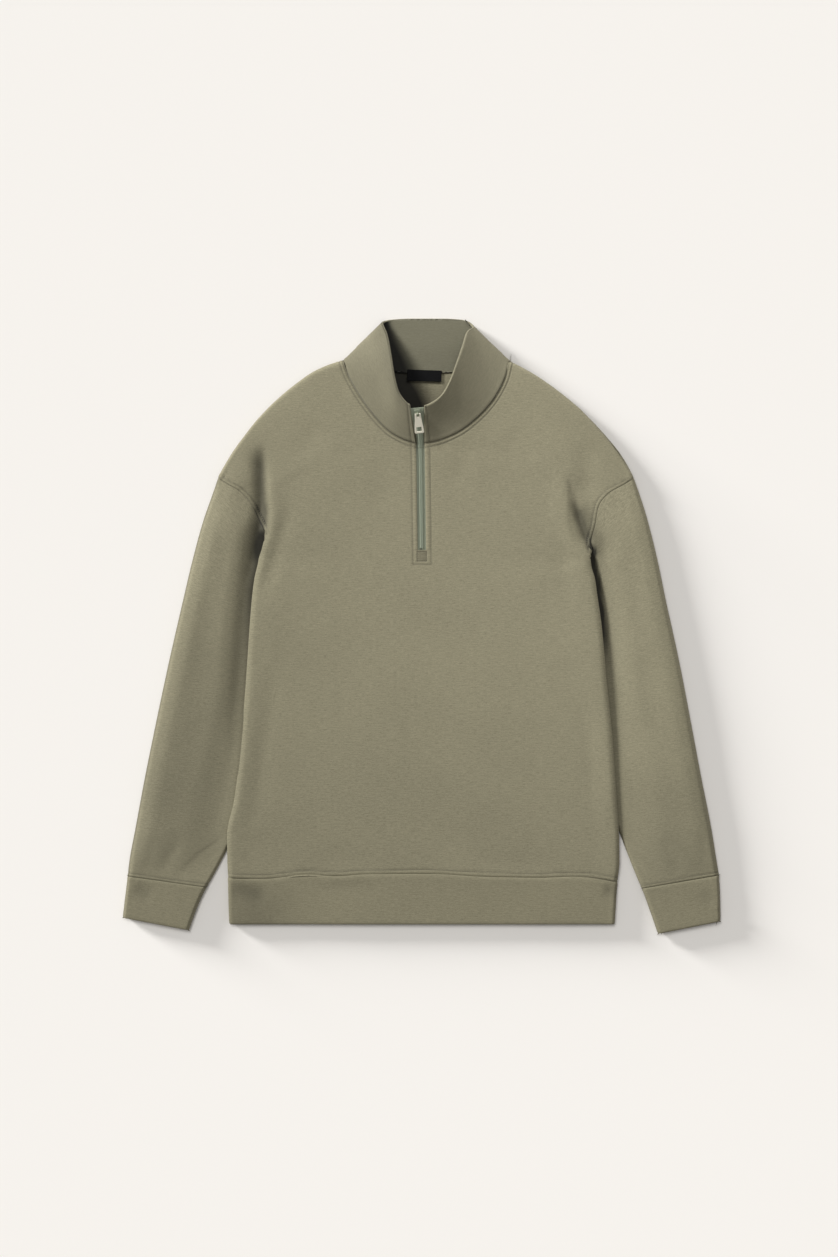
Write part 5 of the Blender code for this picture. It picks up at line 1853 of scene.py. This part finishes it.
def build_all_stitches():
    front = SURFACES["front"]
    neck = SEAMS["neck"]
    build_stitches("neckline_stitches", [neck.offset(-1.7), neck.offset(-5.6)], front)
    build_stitches(
        "armhole_stitches",
        [SEAMS["arm_right"].offset(-4.8, 2, 6), SEAMS["arm_left"].offset(4.8, 2, 6)],
        front,
    )
    build_stitches("hem_stitches", [SEAMS["hem"].offset(5.8, 6, 6)], front)
    build_stitches(
        "zip_frame_stitches", [SEAMS["frame"].offset(0.0, 0, 0), SEAMS["box"].offset(0.0, 0, 0)], front
    )
    for side, name in ((-1, "right"), (1, "left")):
        line = SEAMS["cuff_" + name].offset(-side * 4.2, 5, 5)
        build_stitches("cuff_stitches_" + name, [line], SURFACES["sleeve_" + name])
    heights = [231 + 0.5 * k for k in range(84)]
    collar_line = [[Vector((zip_x(y) + side * 11.5, y)) for y in heights] for side in (-1, 1)]
    build_stitches("collar_stitches", collar_line, SURFACES["collar"])


def add_camera():
    """Straight above, three metres up, with the whole floor sheet that the picture takes in."""
    seen_height = 1.5712
    distance = 3.0
    data = bpy.data.cameras.new("camera")
    data.sensor_width = 36.0
    data.lens = 36.0 * distance / seen_height
    camera = bpy.data.objects.new("camera", data)
    camera.location = (-0.0025, -0.0031, distance + 0.008)
    bpy.context.scene.collection.objects.link(camera)
    bpy.context.scene.camera = camera


def add_light(name, kind, place, target, energy, **settings):
    data = bpy.data.lights.new(name, kind)
    data.energy = energy
    for key, value in settings.items():
        setattr(data, key, value)
    lamp = bpy.data.objects.new(name, data)
    lamp.location = place
    aim = Vector(target) - Vector(place)
    lamp.rotation_mode = "QUATERNION"
    lamp.rotation_quaternion = aim.to_track_quat("-Z", "Y")
    bpy.context.scene.collection.objects.link(lamp)
    return lamp


# Studio light: the sky, a soft top light and a low sun for the cloth, two suns for the floor and its shadow.
WORLD_LIGHT = 0.33
TOP_LIGHT = ((0.45, 1.75, 1.05), 17.0)
CLOTH_SUN = ((-1.0, 0.72, 0.56), 3.8, 14.0)
FLOOR_SUNS = (("high", (-0.6, 1.0, 2.2), 1.22, 30.0), ("low", (-3.0, 1.9, 0.42), 9.5, 12.0))


def add_studio():
    bm = bmesh.new()
    bmesh.ops.create_grid(bm, x_segments=1, y_segments=1, size=6.0)
    mesh = bpy.data.meshes.new("floor")
    bm.to_mesh(mesh)
    bm.free()
    floor = bpy.data.objects.new("floor", mesh)
    bpy.context.scene.collection.objects.link(floor)
    floor.location.z = -0.0004
    pale, _, shader = nodes_of("pale_floor")
    shader.inputs["Base Color"].default_value = (0.90, 0.872, 0.832, 1.0)
    shader.inputs["Roughness"].default_value = 0.95
    shader.inputs["Specular IOR Level"].default_value = 0.0
    mesh.materials.append(pale)
    world = bpy.data.worlds.new("studio")
    world.use_nodes = True
    world.node_tree.nodes["Background"].inputs["Color"].default_value = (1.0, 0.99, 0.975, 1.0)
    world.node_tree.nodes["Background"].inputs["Strength"].default_value = WORLD_LIGHT
    bpy.context.scene.world = world
    bpy.context.scene.view_settings.view_transform = "Standard"
    for_floor = lit_only("floor_lit", [floor])
    garment = [obj for obj in bpy.context.scene.objects if obj.type == "MESH" and obj != floor]
    for_cloth = lit_only("garment_lit", garment)
    place, energy = TOP_LIGHT
    top = add_light("top", "AREA", place, (0, 0, 0), energy, shape="RECTANGLE", size=0.9, size_y=0.7)
    top.light_linking.receiver_collection = for_cloth
    for name, place, energy, spread in (("key", *CLOTH_SUN), *FLOOR_SUNS):
        lamp = add_light(name, "SUN", place, (0, 0, 0), energy, angle=math.radians(spread))
        lamp.light_linking.receiver_collection = for_cloth if name == "key" else for_floor


def lit_only(name, objects):
    group = bpy.data.collections.new(name)
    for obj in objects:
        group.objects.link(obj)
    return group


def main():
    make_finishes()
    offset_seams()
    pieces = {"front_panel": build_front(), "back_panel": build_back()}
    pieces["sleeve_right"] = build_sleeve("sleeve_right", SLEEVE_RIGHT, -1)
    pieces["sleeve_left"] = build_sleeve("sleeve_left", SLEEVE_LEFT, 1)
    pieces["cuff_right"] = build_cuff("cuff_right", CUFF_RIGHT, -1)
    pieces["cuff_left"] = build_cuff("cuff_left", CUFF_LEFT, 1)
    pieces["hem_band"] = build_hem()
    pieces["collar"] = build_collar()
    for name in ("front_panel", "sleeve_right", "sleeve_left"):
        settle(pieces[name])
    build_tape("zip_tape_right", -1)
    build_tape("zip_tape_left", 1)
    build_chain()
    build_cords()
    build_slider()
    build_pull()
    build_label()
    build_all_stitches()
    add_camera()
    add_studio()


main()
